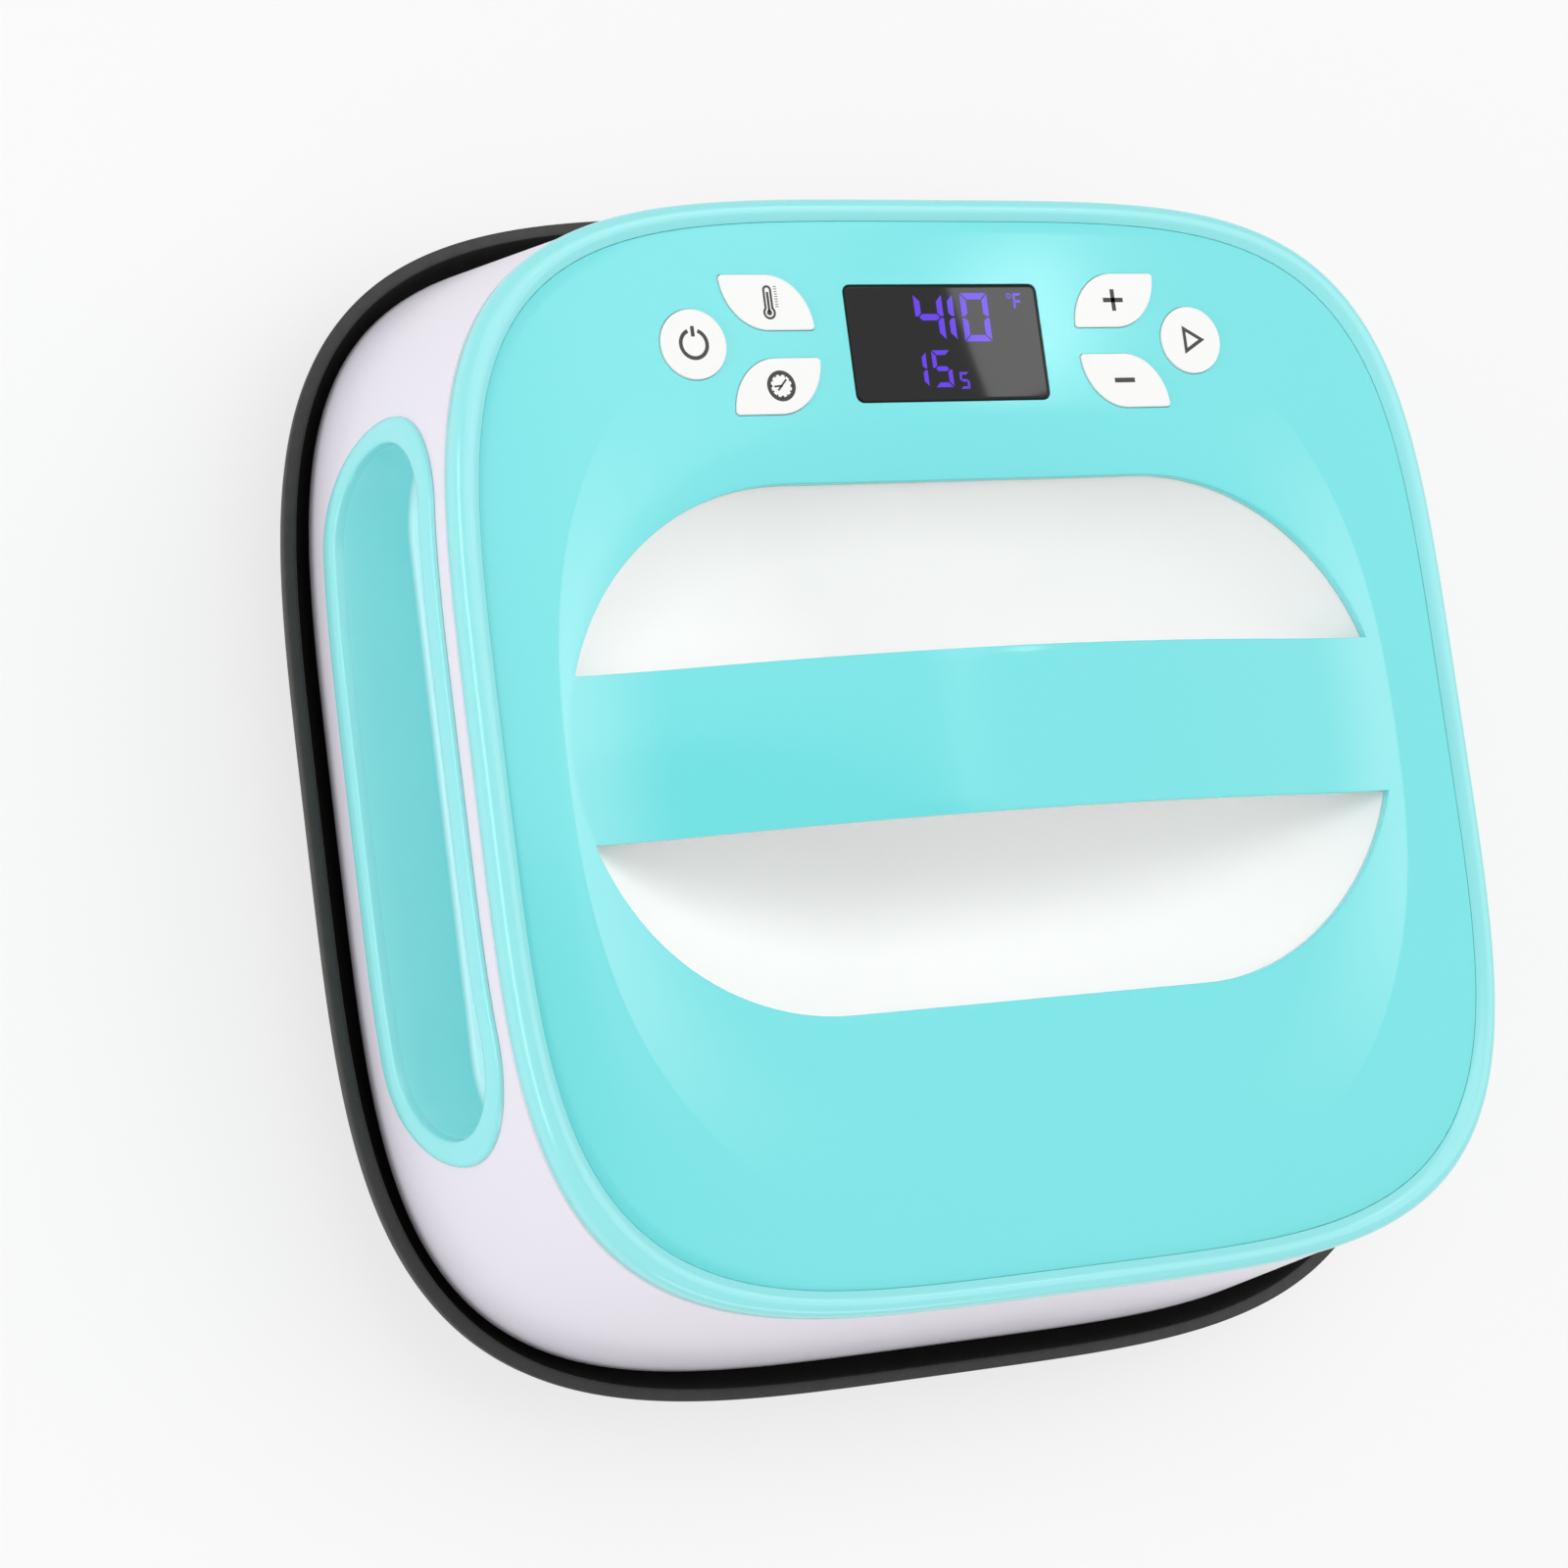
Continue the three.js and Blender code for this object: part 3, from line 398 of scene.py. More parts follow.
handle_angle = np.degrees(np.arcsin(HANDLE_HALF / WELL_RADIUS))
well_straight = WELL_HALF - WELL_RADIUS
handle_y = np.linspace(-HANDLE_HALF, HANDLE_HALF, HANDLE_ROWS + 1)
straight_x = np.linspace(0, well_straight, STRAIGHT_STEPS + 1)[:-1]
right_side = np.concatenate([
    np.stack([straight_x, np.full(STRAIGHT_STEPS, -WELL_RADIUS)], -1),
    arc((well_straight, 0), WELL_RADIUS, -90, -handle_angle, END_STEPS)[:-1],
    np.stack([well_edge_x(handle_y), handle_y], -1),
    arc((well_straight, 0), WELL_RADIUS, handle_angle, 90, END_STEPS)[1:],
    np.stack([straight_x[::-1], np.full(STRAIGHT_STEPS, WELL_RADIUS)], -1),
])
well_loop = np.concatenate([right_side, (right_side * [-1, 1])[-2:0:-1]])
face_loop = superellipse(np.arctan2(well_loop[:, 1], well_loop[:, 0]), PRESS_POWER)
face_loop = face_loop * (FACE_HALF - RIM_WIDTH - FACE_GAP) * [1, DEPTH_SHARE]

row = np.linspace(0, 1, FACE_ROWS)[:, None, None]
ring_flat = well_loop * (1 - row) + face_loop * row
ring_level = PANEL_TOP - dish_at(ring_flat[..., 0], ring_flat[..., 1])
ring_top = np.concatenate([ring_flat, ring_level[..., None]], -1)

strip_share = np.linspace(-1, 1, HANDLE_COLUMNS + 1)
strip_x = well_edge_x(handle_y)[:, None] * strip_share
strip_y = np.broadcast_to(handle_y[:, None], strip_x.shape)
strip_top = np.stack([strip_x, strip_y, PANEL_TOP + handle_rise(strip_x, strip_y)], -1)

ring_quads = grid_quads(FACE_ROWS, len(well_loop), False, True)
strip_quads = grid_quads(HANDLE_ROWS + 1, HANDLE_COLUMNS + 1)
print("quads of the ring and the strip", len(ring_quads), len(strip_quads))

# %% [markdown]
# The same two grids moved down by the moulding's thickness are its underside, and walls of quads
# close it along every border. The modifier Solidify would do this too, but it moves points along
# their normals, and the wells' edge has to stay upright over the bowl. A narrow bevel then breaks
# the sharp edges, as a mould does.

# %% Face panel
FACE_ROUND = 0.2 * MM
ROUNDED_ANGLE = np.radians(50)
HAIR = 1e-9
down = np.array([0, 0, PANEL_THICK])


def wall_between(upper, closed):
    """Quads from a line of points straight down through the panel."""
    return np.stack([upper, upper - down]), grid_quads(2, len(upper), False, closed)


upper_half = ring_top[0][well_loop[:, 1] >= HANDLE_HALF - HAIR]
lower_half = ring_top[0][well_loop[:, 1] <= HAIR - HANDLE_HALF]
# The loop begins in the middle of the lower half, so that half is rolled to begin at its own end.
start = int(np.argmax(np.linalg.norm(np.diff(lower_half, axis=0), axis=1))) + 1
lower_half = np.roll(lower_half, -start, axis=0)
panel = make_object("face", [
    (ring_top, ring_quads),
    (strip_top, strip_quads),
    (ring_top - down, ring_quads),
    (strip_top - down, strip_quads),
    wall_between(ring_top[-1], True),
    wall_between(upper_half, False),
    wall_between(lower_half, False),
    wall_between(strip_top[0], False),
    wall_between(strip_top[-1], False),
])
round_over = panel.modifiers.new("round", "BEVEL")
round_over.width = FACE_ROUND
round_over.segments = 3
round_over.limit_method = "ANGLE"
round_over.angle_limit = ROUNDED_ANGLE
round_over.use_clamp_overlap = False
apply_modifiers(panel)
print("face points", len(panel.data.vertices))

# %% [markdown]
# ## Openings in the face
#
# The window and the six buttons stand in holes that follow their outlines with a hair's gap. So each
# outline is one function that takes how far it grows, and cap, flange and hole all use it. A leaf
# button has two square corners, rounded by a millimetre, and two long sides that are quarter
# ellipses. The four leaves are one shape, mirrored.

# %% Button and window outlines
ROUND_RADIUS = 9 * MM
LEAF_HALF = (12.6 * MM, 7.2 * MM)
LEAF_STEPS = 26
LEAF_CORNER = 1.0 * MM
WINDOW_HALF = (28.2 * MM, 15.3 * MM)
WINDOW_CORNER = 2 * MM


def leaf_outline(grow, flip):
    """Two square corners, each rounded, and two quarter ellipses, with mirror signs."""
    x, y = LEAF_HALF[0] + grow, LEAF_HALF[1] + grow
    end = np.arcsin(LEAF_CORNER / (2 * y))
    turn = np.linspace(np.pi / 2, end, LEAF_STEPS)
    side = np.stack([x * np.cos(turn), 2 * y * np.sin(turn) - y], -1)
    tip = arc((x - LEAF_CORNER, LEAF_CORNER - y), LEAF_CORNER, 0, -90, 8)
    half = np.concatenate([side, tip])
    return np.concatenate([half, -half]) * flip


def round_outline(grow):
    """The circle of a round button."""
    return circle(ROUND_RADIUS + grow)


def window_outline(grow):
    """The window's rectangle, whose corners grow with it."""
    return rounded_box(WINDOW_HALF[0] + grow, WINDOW_HALF[1] + grow, WINDOW_CORNER + grow)


LEAVES = {"temperature": (1, 1), "timer": (1, -1), "plus": (-1, 1), "minus": (-1, -1)}
BUTTONS = {"power": round_outline, "start": round_outline}
BUTTONS.update({name: partial(leaf_outline, flip=flip) for name, flip in LEAVES.items()})
print("buttons", sorted(BUTTONS))

# %% [markdown]
# Each button's place is the middle of its solid's box, with a shift of a millimetre or less that
# brings the cap to the exact place of the real one. A table is plainer here than a rule, because
# the real ones keep to no grid.

# %% Places of the buttons
def middle_of(name):
    """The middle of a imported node's box, seen from above."""
    low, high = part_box(name)
    return np.array([(low.x + high.x) / 2, (low.y + high.y) / 2])


BUTTON_SHIFT = {  # millimetres
    "power": (1.0, -0.4), "start": (0, -0.7), "temperature": (0.8, -0.8),
    "timer": (1.2, -0.4), "plus": (0, -0.8), "minus": (0.2, -0.3),
}
button_middles = {
    name: middle_of(f"{name}_button") + np.array(BUTTON_SHIFT[name]) * MM for name in BUTTONS
}
window_middle = middle_of("display_window")
print("window middle", [round(float(v) / MM, 1) for v in window_middle], "mm")

# %% [markdown]
# The holes are cut with prisms that flare at the top, which leaves a fine chamfer round each hole,
# as a mould would. Cutting comes after the bevel of the face, so that the holes keep this chamfer
# alone.

# %% Cutting the openings
BUTTON_GAP = 0.14 * MM
WINDOW_GAP = 0.12 * MM
CHAMFER = 0.1 * MM


def flared_prism(name, outline, middle, gap):
    """A cutter that follows an outline and opens by a chamfer at the face's top."""
    rings = [
        lift(outline(gap) + middle, PANEL_TOP - 2 * PANEL_THICK),
        lift(outline(gap) + middle, PANEL_TOP - CHAMFER),
        lift(outline(gap + CHAMFER) + middle, PANEL_TOP),
        lift(outline(gap + CHAMFER) + middle, PANEL_TOP + PANEL_THICK),
    ]
    return make_object(name, [stack_rings(rings)])


cutters = [flared_prism("window_cut", window_outline, window_middle, WINDOW_GAP)]
for name, outline in BUTTONS.items():
    cutters.append(flared_prism(f"{name}_cut", outline, button_middles[name], BUTTON_GAP))
cut(panel, cutters)
print("face points with openings", len(panel.data.vertices))

# %% [markdown]
# ## The rim
#
# A soft bead frames the face. It is a separate moulding with a ledge inside it, which the face
# panel lies on, so the two meet in a fine groove. A bevelled curve would keep one round section, so
# a closed section of its own is swept round the outline: a quarter of a squarish ellipse outside,
# and a curve that runs down to the face inside.

# %% Rim bead
BEAD_POWER = 2.3
BEAD_STEPS = 15
BEAD_BASE = PARTING + 3.8 * MM
BEAD_FOOT = PANEL_TOP + 0.1 * MM
RIM_ROUND, RIM_BEND = 0.5 * MM, 0.15 * MM


def bead_line(outer, width, base, crown, foot):
    """A quarter superellipse up to the crown, then half a parabola down to the foot inside."""
    turn = np.linspace(0, np.pi / 2, BEAD_STEPS)
    across = np.cos(turn) ** (2 / BEAD_POWER)
    rise = np.sin(turn) ** (2 / BEAD_POWER)
    outside = np.stack([outer - width / 2 * (1 - across), base + (crown - base) * rise], -1)
    share = np.linspace(0, 1, BEAD_STEPS)[1:]
    inside = np.stack([outer - width / 2 * (1 + share), crown - (crown - foot) * share**2], -1)
    return np.concatenate([outside, inside])


rim_bottom = rim_low.z
rim_section = np.concatenate([
    [[FACE_HALF - RIM_ROUND, rim_bottom], [FACE_HALF - RIM_BEND, rim_bottom + RIM_BEND]],
    [[FACE_HALF, rim_bottom + RIM_ROUND]],
    bead_line(FACE_HALF, RIM_WIDTH, BEAD_BASE, CROWN, BEAD_FOOT),
    [[FACE_HALF - RIM_WIDTH, RIM_LEDGE], [LEDGE_HALF, RIM_LEDGE], [LEDGE_HALF, rim_bottom]],
])
rim = make_object("rim", [ring_around(rim_section, press_turn)])
print("rim points", len(rim.data.vertices))

# %% [markdown]
# ## The hand wells
#
# The white bowl under the handle is one deep moulding. Its wall falls away from the stadium's edge
# and flattens into the floor, so fingers find room under the handle. Sculpting it would leave waves
# in the gloss, so rings of the stadium shrink towards the middle, and the level follows a power of
# their share. At the two ends the rim rises with the face, so that it meets the panel all round.

# %% Bowl
well_low, well_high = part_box("hand_well")
BOWL_WALL = 2 * MM
BOWL_RIM = well_high.z
BOWL_DEPTH = BOWL_RIM - well_low.z - BOWL_WALL
BOWL_POWER = 2.6
BOWL_ROWS = 56
ROW_EASE = 1.25
RISE_POWER = 12
PANEL_GAP = 0.2 * MM
BOWL_FLANGE = 6 * MM
FLANGE_DEPTH_SHARE = 0.57
BOWL_STEPS = (49, 31)

bowl_loop = stadium(WELL_HALF, WELL_RADIUS, *BOWL_STEPS)
meeting = PANEL_TOP - PANEL_THICK - PANEL_GAP - dish_at(bowl_loop[:, 0], bowl_loop[:, 1])
extra = np.maximum(meeting - BOWL_RIM, 0)


def bowl_surface(shares):
    """Points for each share of the stadium's size, from its edge to the middle."""
    flat = shares[:, None, None] * bowl_loop
    fallen = BOWL_RIM - BOWL_DEPTH * (1 - shares**BOWL_POWER)[:, None]
    level = fallen + extra * shares[:, None] ** RISE_POWER
    return np.concatenate([flat, level[..., None]], -1)


inside = bowl_surface(1 - np.linspace(0, 1, BOWL_ROWS) ** ROW_EASE)
flange_radius = WELL_RADIUS + BOWL_FLANGE * FLANGE_DEPTH_SHARE
flange_top = lift(stadium(WELL_HALF + BOWL_FLANGE, flange_radius, *BOWL_STEPS), 0)
flange_top[:, 2] = inside[0, :, 2]
fall = np.array([0, 0, BOWL_WALL])
bowl_rows = np.concatenate([
    inside[::-1],
    flange_top[None],
    (flange_top - fall)[None],
    inside - fall,
])
bowl = make_object("bowl", [(bowl_rows, grid_quads(len(bowl_rows), len(bowl_loop), False, True))])
print("bowl depth", round(BOWL_DEPTH / MM, 1), "mm")

# %% [markdown]
# ## The underside of the grip
#
# The handle is hollow, so a second moulding closes it from below and gives the fingers a full,
# round bar to hold. It is a thin edge under the handle's edge that swells to a belly in the middle.
# Its top takes the handle's own formula, so the two halves fit, and the belly is a product of two
# parabolas, one along the bar and one across it.

# %% Grip
grip_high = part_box("grip_underside")[1]
GRIP_BELLY = 12 * MM
GRIP_EDGE = 1.2 * MM
GRIP_GAP = 0.15 * MM
BELLY_POWER = 0.6
GRIP_ROWS, GRIP_COLUMNS = 121, 25

u, v = np.meshgrid(np.linspace(-1, 1, GRIP_ROWS), np.linspace(-1, 1, GRIP_COLUMNS), indexing="ij")
grip_x, grip_y = u * grip_high.x, v * grip_high.y
grip_top = PANEL_TOP - PANEL_THICK + handle_rise(grip_x, grip_y) - GRIP_GAP
belly = GRIP_BELLY * ((1 - v**2) * (1 - u**2)) ** BELLY_POWER
upper = np.stack([grip_x, grip_y, grip_top], -1)
lower = np.stack([grip_x, grip_y, grip_top - GRIP_EDGE - belly], -1)


def border_of(grid):
    """The points of a grid's border, once round."""
    return np.concatenate([grid[:, 0], grid[-1, 1:], grid[-2::-1, -1], grid[0, -2:0:-1]])


grip_quads = grid_quads(GRIP_ROWS, GRIP_COLUMNS)
edges = np.stack([border_of(upper), border_of(lower)])
grip = make_object("grip", [
    (upper, grip_quads),
    (lower, grip_quads),
    (edges, grid_quads(2, edges.shape[1], False, True)),
])
print("grip belly", round(float((grip_top - lower[..., 2]).max()) / MM, 1), "mm")

# %% [markdown]
# ## The case
#
# The white case flares a little towards the table, so that it draws from its mould. Its section is
# a thin wall with a rounded foot and, at the top, a ledge that the rim sits on. It could be a box
# with bevelled edges, but a section swept round the same outline as the rim keeps the two in line.

# %% Case shell
FOOT_ROUND = 3 * MM
FOOT_STEPS = 7
WALL_STEPS = 13
LEDGE_THICK = 2.5 * MM
CASE_BEVEL = 0.4 * MM


def shell_half(level):
    """Half width of the case at a level."""
    return FACE_HALF + SHELL_FLARE * (PARTING - level) / SHELL_HEIGHT


foot_turn = np.radians(np.linspace(90, 0, FOOT_STEPS))
foot_level = SHELL_FOOT + FOOT_ROUND * (1 - np.sin(foot_turn))
foot_half = shell_half(foot_level) - FOOT_ROUND * (1 - np.cos(foot_turn))
side_level = np.linspace(SHELL_FOOT + FOOT_ROUND, PARTING - CASE_BEVEL, WALL_STEPS)[1:]
inner_top = PARTING - LEDGE_THICK
shell_section = np.concatenate([
    np.stack([foot_half, foot_level], -1),
    np.stack([shell_half(side_level), side_level], -1),
    [[FACE_HALF - CASE_BEVEL, PARTING], [LEDGE_HALF, PARTING], [LEDGE_HALF, inner_top]],
    [[shell_half(inner_top) - SHELL_WALL, inner_top]],
    [[shell_half(SHELL_FOOT + FOOT_ROUND) - SHELL_WALL, SHELL_FOOT + FOOT_ROUND]],
    [[shell_half(SHELL_FOOT) - SHELL_WALL - CASE_BEVEL, SHELL_FOOT]],
])
shell = make_object("case", [ring_around(shell_section, press_turn)])
print("case points", len(shell.data.vertices))

# %% [markdown]
# ## The side pockets
#
# A mint pocket in each side is where the hands lift the press. Each is one moulding: a soft ring
# that stands proud of the case, a smooth wall and a flat floor. It is carried round the stadium of
# the mouth in rows. Near the mouth a row follows the leaning, curved wall of the case, and deeper in
# it stands upright on the floor, so a plain extrusion wouldn't do.

# %% Sizes and rows of a pocket
pocket_low, pocket_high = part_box("side_pocket_right")
POCKET_Y = (pocket_low.y + pocket_high.y) / 2
POCKET_Z = (pocket_low.z + pocket_high.z) / 2
POCKET_RING = 6.6 * MM
POCKET_HALF = (pocket_high.y - pocket_low.y) / 2 - POCKET_RING
POCKET_RADIUS = (pocket_high.z - pocket_low.z) / 2 - POCKET_RING
POCKET_BACK = pocket_low.x
POCKET_FLOOR = POCKET_BACK + 4.2 * MM
POCKET_WALL = 2 * MM
POCKET_PROUD = 1.4 * MM
POCKET_STEPS = (41, 47)


def case_x(y, z):
    """Where the case's side stands at a place on it."""
    half = shell_half(z)
    along = np.clip(np.abs(y) / (half * DEPTH_SHARE), 0, 0.999)
    return half * (1 - along**PRESS_POWER) ** (1 / PRESS_POWER)


def pocket_row(grow, rise=None, floor=None):
    """One ring of the pocket: the stadium grown, at a rise over the case or over the floor."""
    loop = stadium(POCKET_HALF, POCKET_RADIUS, *POCKET_STEPS)
    core = np.zeros_like(loop)
    core[:, 0] = np.clip(loop[:, 0], POCKET_RADIUS - POCKET_HALF, POCKET_HALF - POCKET_RADIUS)
    loop = core + (loop - core) * (1 + grow / POCKET_RADIUS)
    y, z = POCKET_Y + loop[:, 0], POCKET_Z + loop[:, 1]
    x = case_x(y, z) + rise if floor is None else np.full(len(y), POCKET_FLOOR + floor)
    return np.stack([x, y, z], -1)


print("pocket mouth", round(POCKET_HALF * 2 / MM, 1), "by", round(POCKET_RADIUS * 2 / MM, 1), "mm")

# %% [markdown]
# The rows run from the middle of the back, up the outside, over the ring, down the inside wall and
# through a small fillet to the middle of the floor. The ring's section is a squarish half ellipse.
# The far side is the same pocket mirrored, so the two are sure to match.

# %% The two pockets
RING_POWER = 0.6
RING_STEPS = 15
RING_SEAT = 0.1 * MM
RING_INSET = 0.4 * MM
MOUTH_INSET, MOUTH_DROP = 0.35 * MM, 1.2 * MM
WALL_DRAFT = 0.8 * MM
POCKET_FILLET = 1.6 * MM

ring_turn = np.linspace(0, np.pi, RING_STEPS)
ring_side = np.sign(np.cos(ring_turn)) * np.abs(np.cos(ring_turn)) ** RING_POWER
ring_grow = POCKET_RING / 2 * (1 + ring_side)
ring_rise = POCKET_PROUD * np.sin(ring_turn) ** RING_POWER + RING_SEAT
fillet_turn = np.radians(np.linspace(0, 90, FOOT_STEPS))
wall_grow = -WALL_DRAFT - POCKET_FILLET * (1 - np.cos(fillet_turn))
wall_floor = POCKET_FILLET * (1 - np.sin(fillet_turn))
pocket_points = np.stack([
    pocket_row(-POCKET_RADIUS, floor=-POCKET_WALL),
    pocket_row(POCKET_WALL, floor=-POCKET_WALL),
    pocket_row(POCKET_WALL, rise=RING_SEAT),
    pocket_row(POCKET_RING - RING_INSET, rise=RING_SEAT),
    *[pocket_row(grow, rise=rise) for grow, rise in zip(ring_grow, ring_rise)],
    pocket_row(-MOUTH_INSET, rise=-MOUTH_DROP),
    *[pocket_row(grow, floor=floor) for grow, floor in zip(wall_grow, wall_floor)],
    pocket_row(-POCKET_RADIUS, floor=0.0),
])
pocket_quads = grid_quads(*pocket_points.shape[:2], False, True)
pocket_right = make_object("pocket_right", [(pocket_points, pocket_quads)])
pocket_left = make_object("pocket_left", [(pocket_points * [-1, 1, 1], pocket_quads)])
print("pocket faces", len(pocket_right.data.polygons))

# %% [markdown]
# ## The openings of the case and the cord gland
#
# The pockets stand in stadium holes through the sides, and a rubber gland guards the cord's hole in
# the rear wall. The holes are prisms cut out of the case. The gland is turned round its own axis as
# on a lathe, and then tilted with the leaning wall.

# %% Openings of the case
GLAND_LEAN = np.arctan2(SHELL_FLARE * DEPTH_SHARE, SHELL_HEIGHT)
GLAND_Z = PARTING - 35 * MM
GLAND_Y = shell_half(GLAND_Z) * DEPTH_SHARE
GLAND_HOLE = 6.3 * MM
POCKET_CLEARANCE = 2.3 * MM


def sideways_prism(name, side):
    """A stadium prism that runs out through one side of the case."""
    loop = stadium(POCKET_HALF + POCKET_CLEARANCE, POCKET_RADIUS + POCKET_CLEARANCE, 33, 3)
    y, z = POCKET_Y + loop[:, 0], POCKET_Z + loop[:, 1]
    rings = [np.stack([np.full(len(y), side * x), y, z], -1) for x in (120 * MM, 170 * MM)]
    return make_object(name, [stack_rings(rings)])


def on_rear_wall(points):
    """Turns points so that their Z axis leaves the leaning rear wall, and moves them there."""
    angle = GLAND_LEAN - np.pi / 2
    turn = np.array([
        [1, 0, 0],
        [0, np.cos(angle), -np.sin(angle)],
        [0, np.sin(angle), np.cos(angle)],
    ])
    return np.asarray(points) @ turn.T + [0, GLAND_Y, GLAND_Z]


cutter_points, cutter_faces = stack_rings([
    lift(circle(GLAND_HOLE, 48), z) for z in (-12 * MM, 6 * MM)
])
gland_cut = make_object("gland_cut", [(on_rear_wall(cutter_points), cutter_faces)])
cut(shell, [sideways_prism("left_cut", -1), sideways_prism("right_cut", 1), gland_cut])
print("case points with openings", len(shell.data.vertices))

# %% Cord gland
def lathe(profile, steps=64):
    """Turns a [radius, level] profile about Z; it starts and ends on the axis, or closes."""
    turn = np.arange(steps) / steps * 2 * np.pi
    return ring_around(profile, np.stack([np.cos(turn), np.sin(turn)], -1))


gland_profile = np.array([
    [3.6, -8], [6, -8], [6, 0.2], [9, 0.2], [9, 2.0], [8.6, 2.7], [7.8, 3.1],
    [6.4, 3.3], [5.8, 3.9], [5.2, 4.0], [4.4, 4.0], [3.9, 3.7], [3.6, 3.1],
]) * MM
gland_points, gland_quads = lathe(gland_profile)
gland = make_object("gland", [(on_rear_wall(gland_points), gland_quads)])
print("gland leans", round(float(np.degrees(GLAND_LEAN)), 1), "degrees")

# %% [markdown]
# ## The heated side
#
# The plate that irons the cloth is a thick aluminium casting with a dark non-stick coating. Its
# edges are rounded so that they leave no mark. It is a stack of rounded squares whose width and
# corners shrink together at the edges, where a bevel would have to be kept off the corners.

# %% Heat plate
plate_low, plate_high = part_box("heat_plate")
PLATE_CORNER = 22 * MM
PLATE_ROUND = 1.2 * MM
CORNER_STEPS = 16


def rounded_edges(half, low, high, radius, steps=5):
    """[half width, level] pairs up the side of a slab whose two edges are rounded."""
    turn = np.radians(np.linspace(0, 90, steps))
    across, rise = radius * np.cos(turn), radius * np.sin(turn)
    under = np.stack([half - radius + rise, low + radius - across], -1)
    over = np.stack([half - radius + across, high - radius + rise], -1)
    return np.concatenate([under, over])


plate_rings = []
for half, level in rounded_edges(plate_high.x, plate_low.z, plate_high.z, PLATE_ROUND):
    corner = PLATE_CORNER - (plate_high.x - half)
    plate_rings.append(lift(rounded_box(half, half, corner, CORNER_STEPS), level))
plate = make_object("heat_plate_cast", [stack_rings(plate_rings)])
print("plate", round(plate_high.x * 2 / MM), "mm a side")

# %% [markdown]
# ### The bottom cover
#
# A white cover closes the case round the plate. Its hole is a rounded square and its outside is the
# press's outline, so the two borders bend in different places. Seen from the middle, each has one
# distance in every direction. The hole is therefore read off in the outline's own directions, and
# one grid of quads joins the two.

# %% Bottom cover
cover_low, cover_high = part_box("bottom_cover")
PLATE_GAP = 1.5 * MM
COVER_ROUND = 0.4 * MM
HOLE_SPREAD, OUTSIDE_SHRINK = 1.002, 0.997

hole_half = plate_high.x + PLATE_GAP
coarse = rounded_box(hole_half, hole_half, PLATE_CORNER + PLATE_GAP, 60)
coarse = np.concatenate([coarse, coarse[:1]])
fine = np.linspace(coarse[:-1], coarse[1:], 40).reshape(-1, 2)
fine_angle = np.arctan2(fine[:, 1], fine[:, 0])
order = np.argsort(fine_angle)
distance = np.linalg.norm(fine, axis=1)[order]
cover_angle = np.arctan2(press_turn[:, 1], press_turn[:, 0])
hole_reach = np.interp(cover_angle, fine_angle[order], distance, period=2 * np.pi)
hole_loop = np.stack([np.cos(cover_angle), np.sin(cover_angle)], -1) * hole_reach[:, None]
outer_loop = press_turn * cover_high.x
cover_rows = np.stack([
    lift(hole_loop, cover_low.z + COVER_ROUND),
    lift(hole_loop * HOLE_SPREAD, cover_low.z),
    lift(outer_loop * OUTSIDE_SHRINK, cover_low.z),
    lift(outer_loop, cover_low.z + COVER_ROUND),
    lift(outer_loop, cover_high.z),
    lift(hole_loop, cover_high.z),
])
cover = make_object("cover", [(cover_rows, grid_quads(len(cover_rows), COLUMNS, True, True))])
print("cover faces", len(cover.data.polygons))

# %% [markdown]
# ### The cover's screws
#
# One screw in the middle of each side holds the cover. A screw is turned, so its head is a profile
# taken round an axis, with a shallow round recess for the driver.

# %% Cover screws
HEAD_RADIUS, HEAD_HEIGHT = 2.6 * MM, 1.5 * MM
SHAFT_RADIUS = 1.2 * MM
RECESS = 0.9 * MM


def screw_profile(low, high):
    """[radius, level] pairs of a pan head seen from below, and of its shaft."""
    return np.array([
        [0, low + RECESS], [HEAD_RADIUS * 0.42, low + RECESS], [HEAD_RADIUS * 0.5, low + 0.02 * MM],
        [HEAD_RADIUS * 0.72, low], [HEAD_RADIUS * 0.94, low + 0.35 * MM],
        [HEAD_RADIUS, low + 0.8 * MM], [HEAD_RADIUS, low + HEAD_HEIGHT],
        [SHAFT_RADIUS, low + HEAD_HEIGHT], [SHAFT_RADIUS, high], [0, high],
    ])


cover_screws = []
for number in range(1, 5):
    name = f"cover_screw_{number}"
    low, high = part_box(name)
    points, quads = lathe(screw_profile(low.z, high.z), 40)
    centre = [*middle_of(name), 0]
    cover_screws.append(make_object(f"cover_screw_turned_{number}", [(points + centre, quads)]))
print("cover screws", len(cover_screws))

# %% [markdown]
# ## The base tray
#
# The tray is pressed from dark heat-proof plastic with a sandy grain. Its wall is a quarter ellipse
# from the flat lip to the floor, and four rails on the diagonals carry the heat plate clear of the
# floor. The inside is one height field: at each point the higher of the bowl and the rails, blended
# so that each rail has soft edges. Separate bars set into the tray would meet it in hard lines.

# %% Heights inside the tray
TRAY_OUTER, TRAY_TOP = tray_high.x, tray_high.z
TRAY_INNER = TRAY_OUTER - 3 * MM
TRAY_FLOOR = tray_low.z + 3 * MM
TRAY_FILLET = 28 * MM
RAIL_TOP = TRAY_FLOOR + 9 * MM
RAIL_ROOT = TRAY_FLOOR - 1.5 * MM
RAIL_LENGTH = 80 * MM
RAIL_HALF = 10 * MM
RAIL_SLOPE = 5.5 * MM
RAIL_SOFT = 0.08
CORNER_GAP = 9 * MM


def wall_level(half):
    """Level of the quarter-ellipse wall at a half width; the floor further in."""
    share = np.clip((half - (TRAY_INNER - TRAY_FILLET)) / TRAY_FILLET, 0, 1)
    return TRAY_TOP - (TRAY_TOP - TRAY_FLOOR) * np.sqrt(1 - share**2)


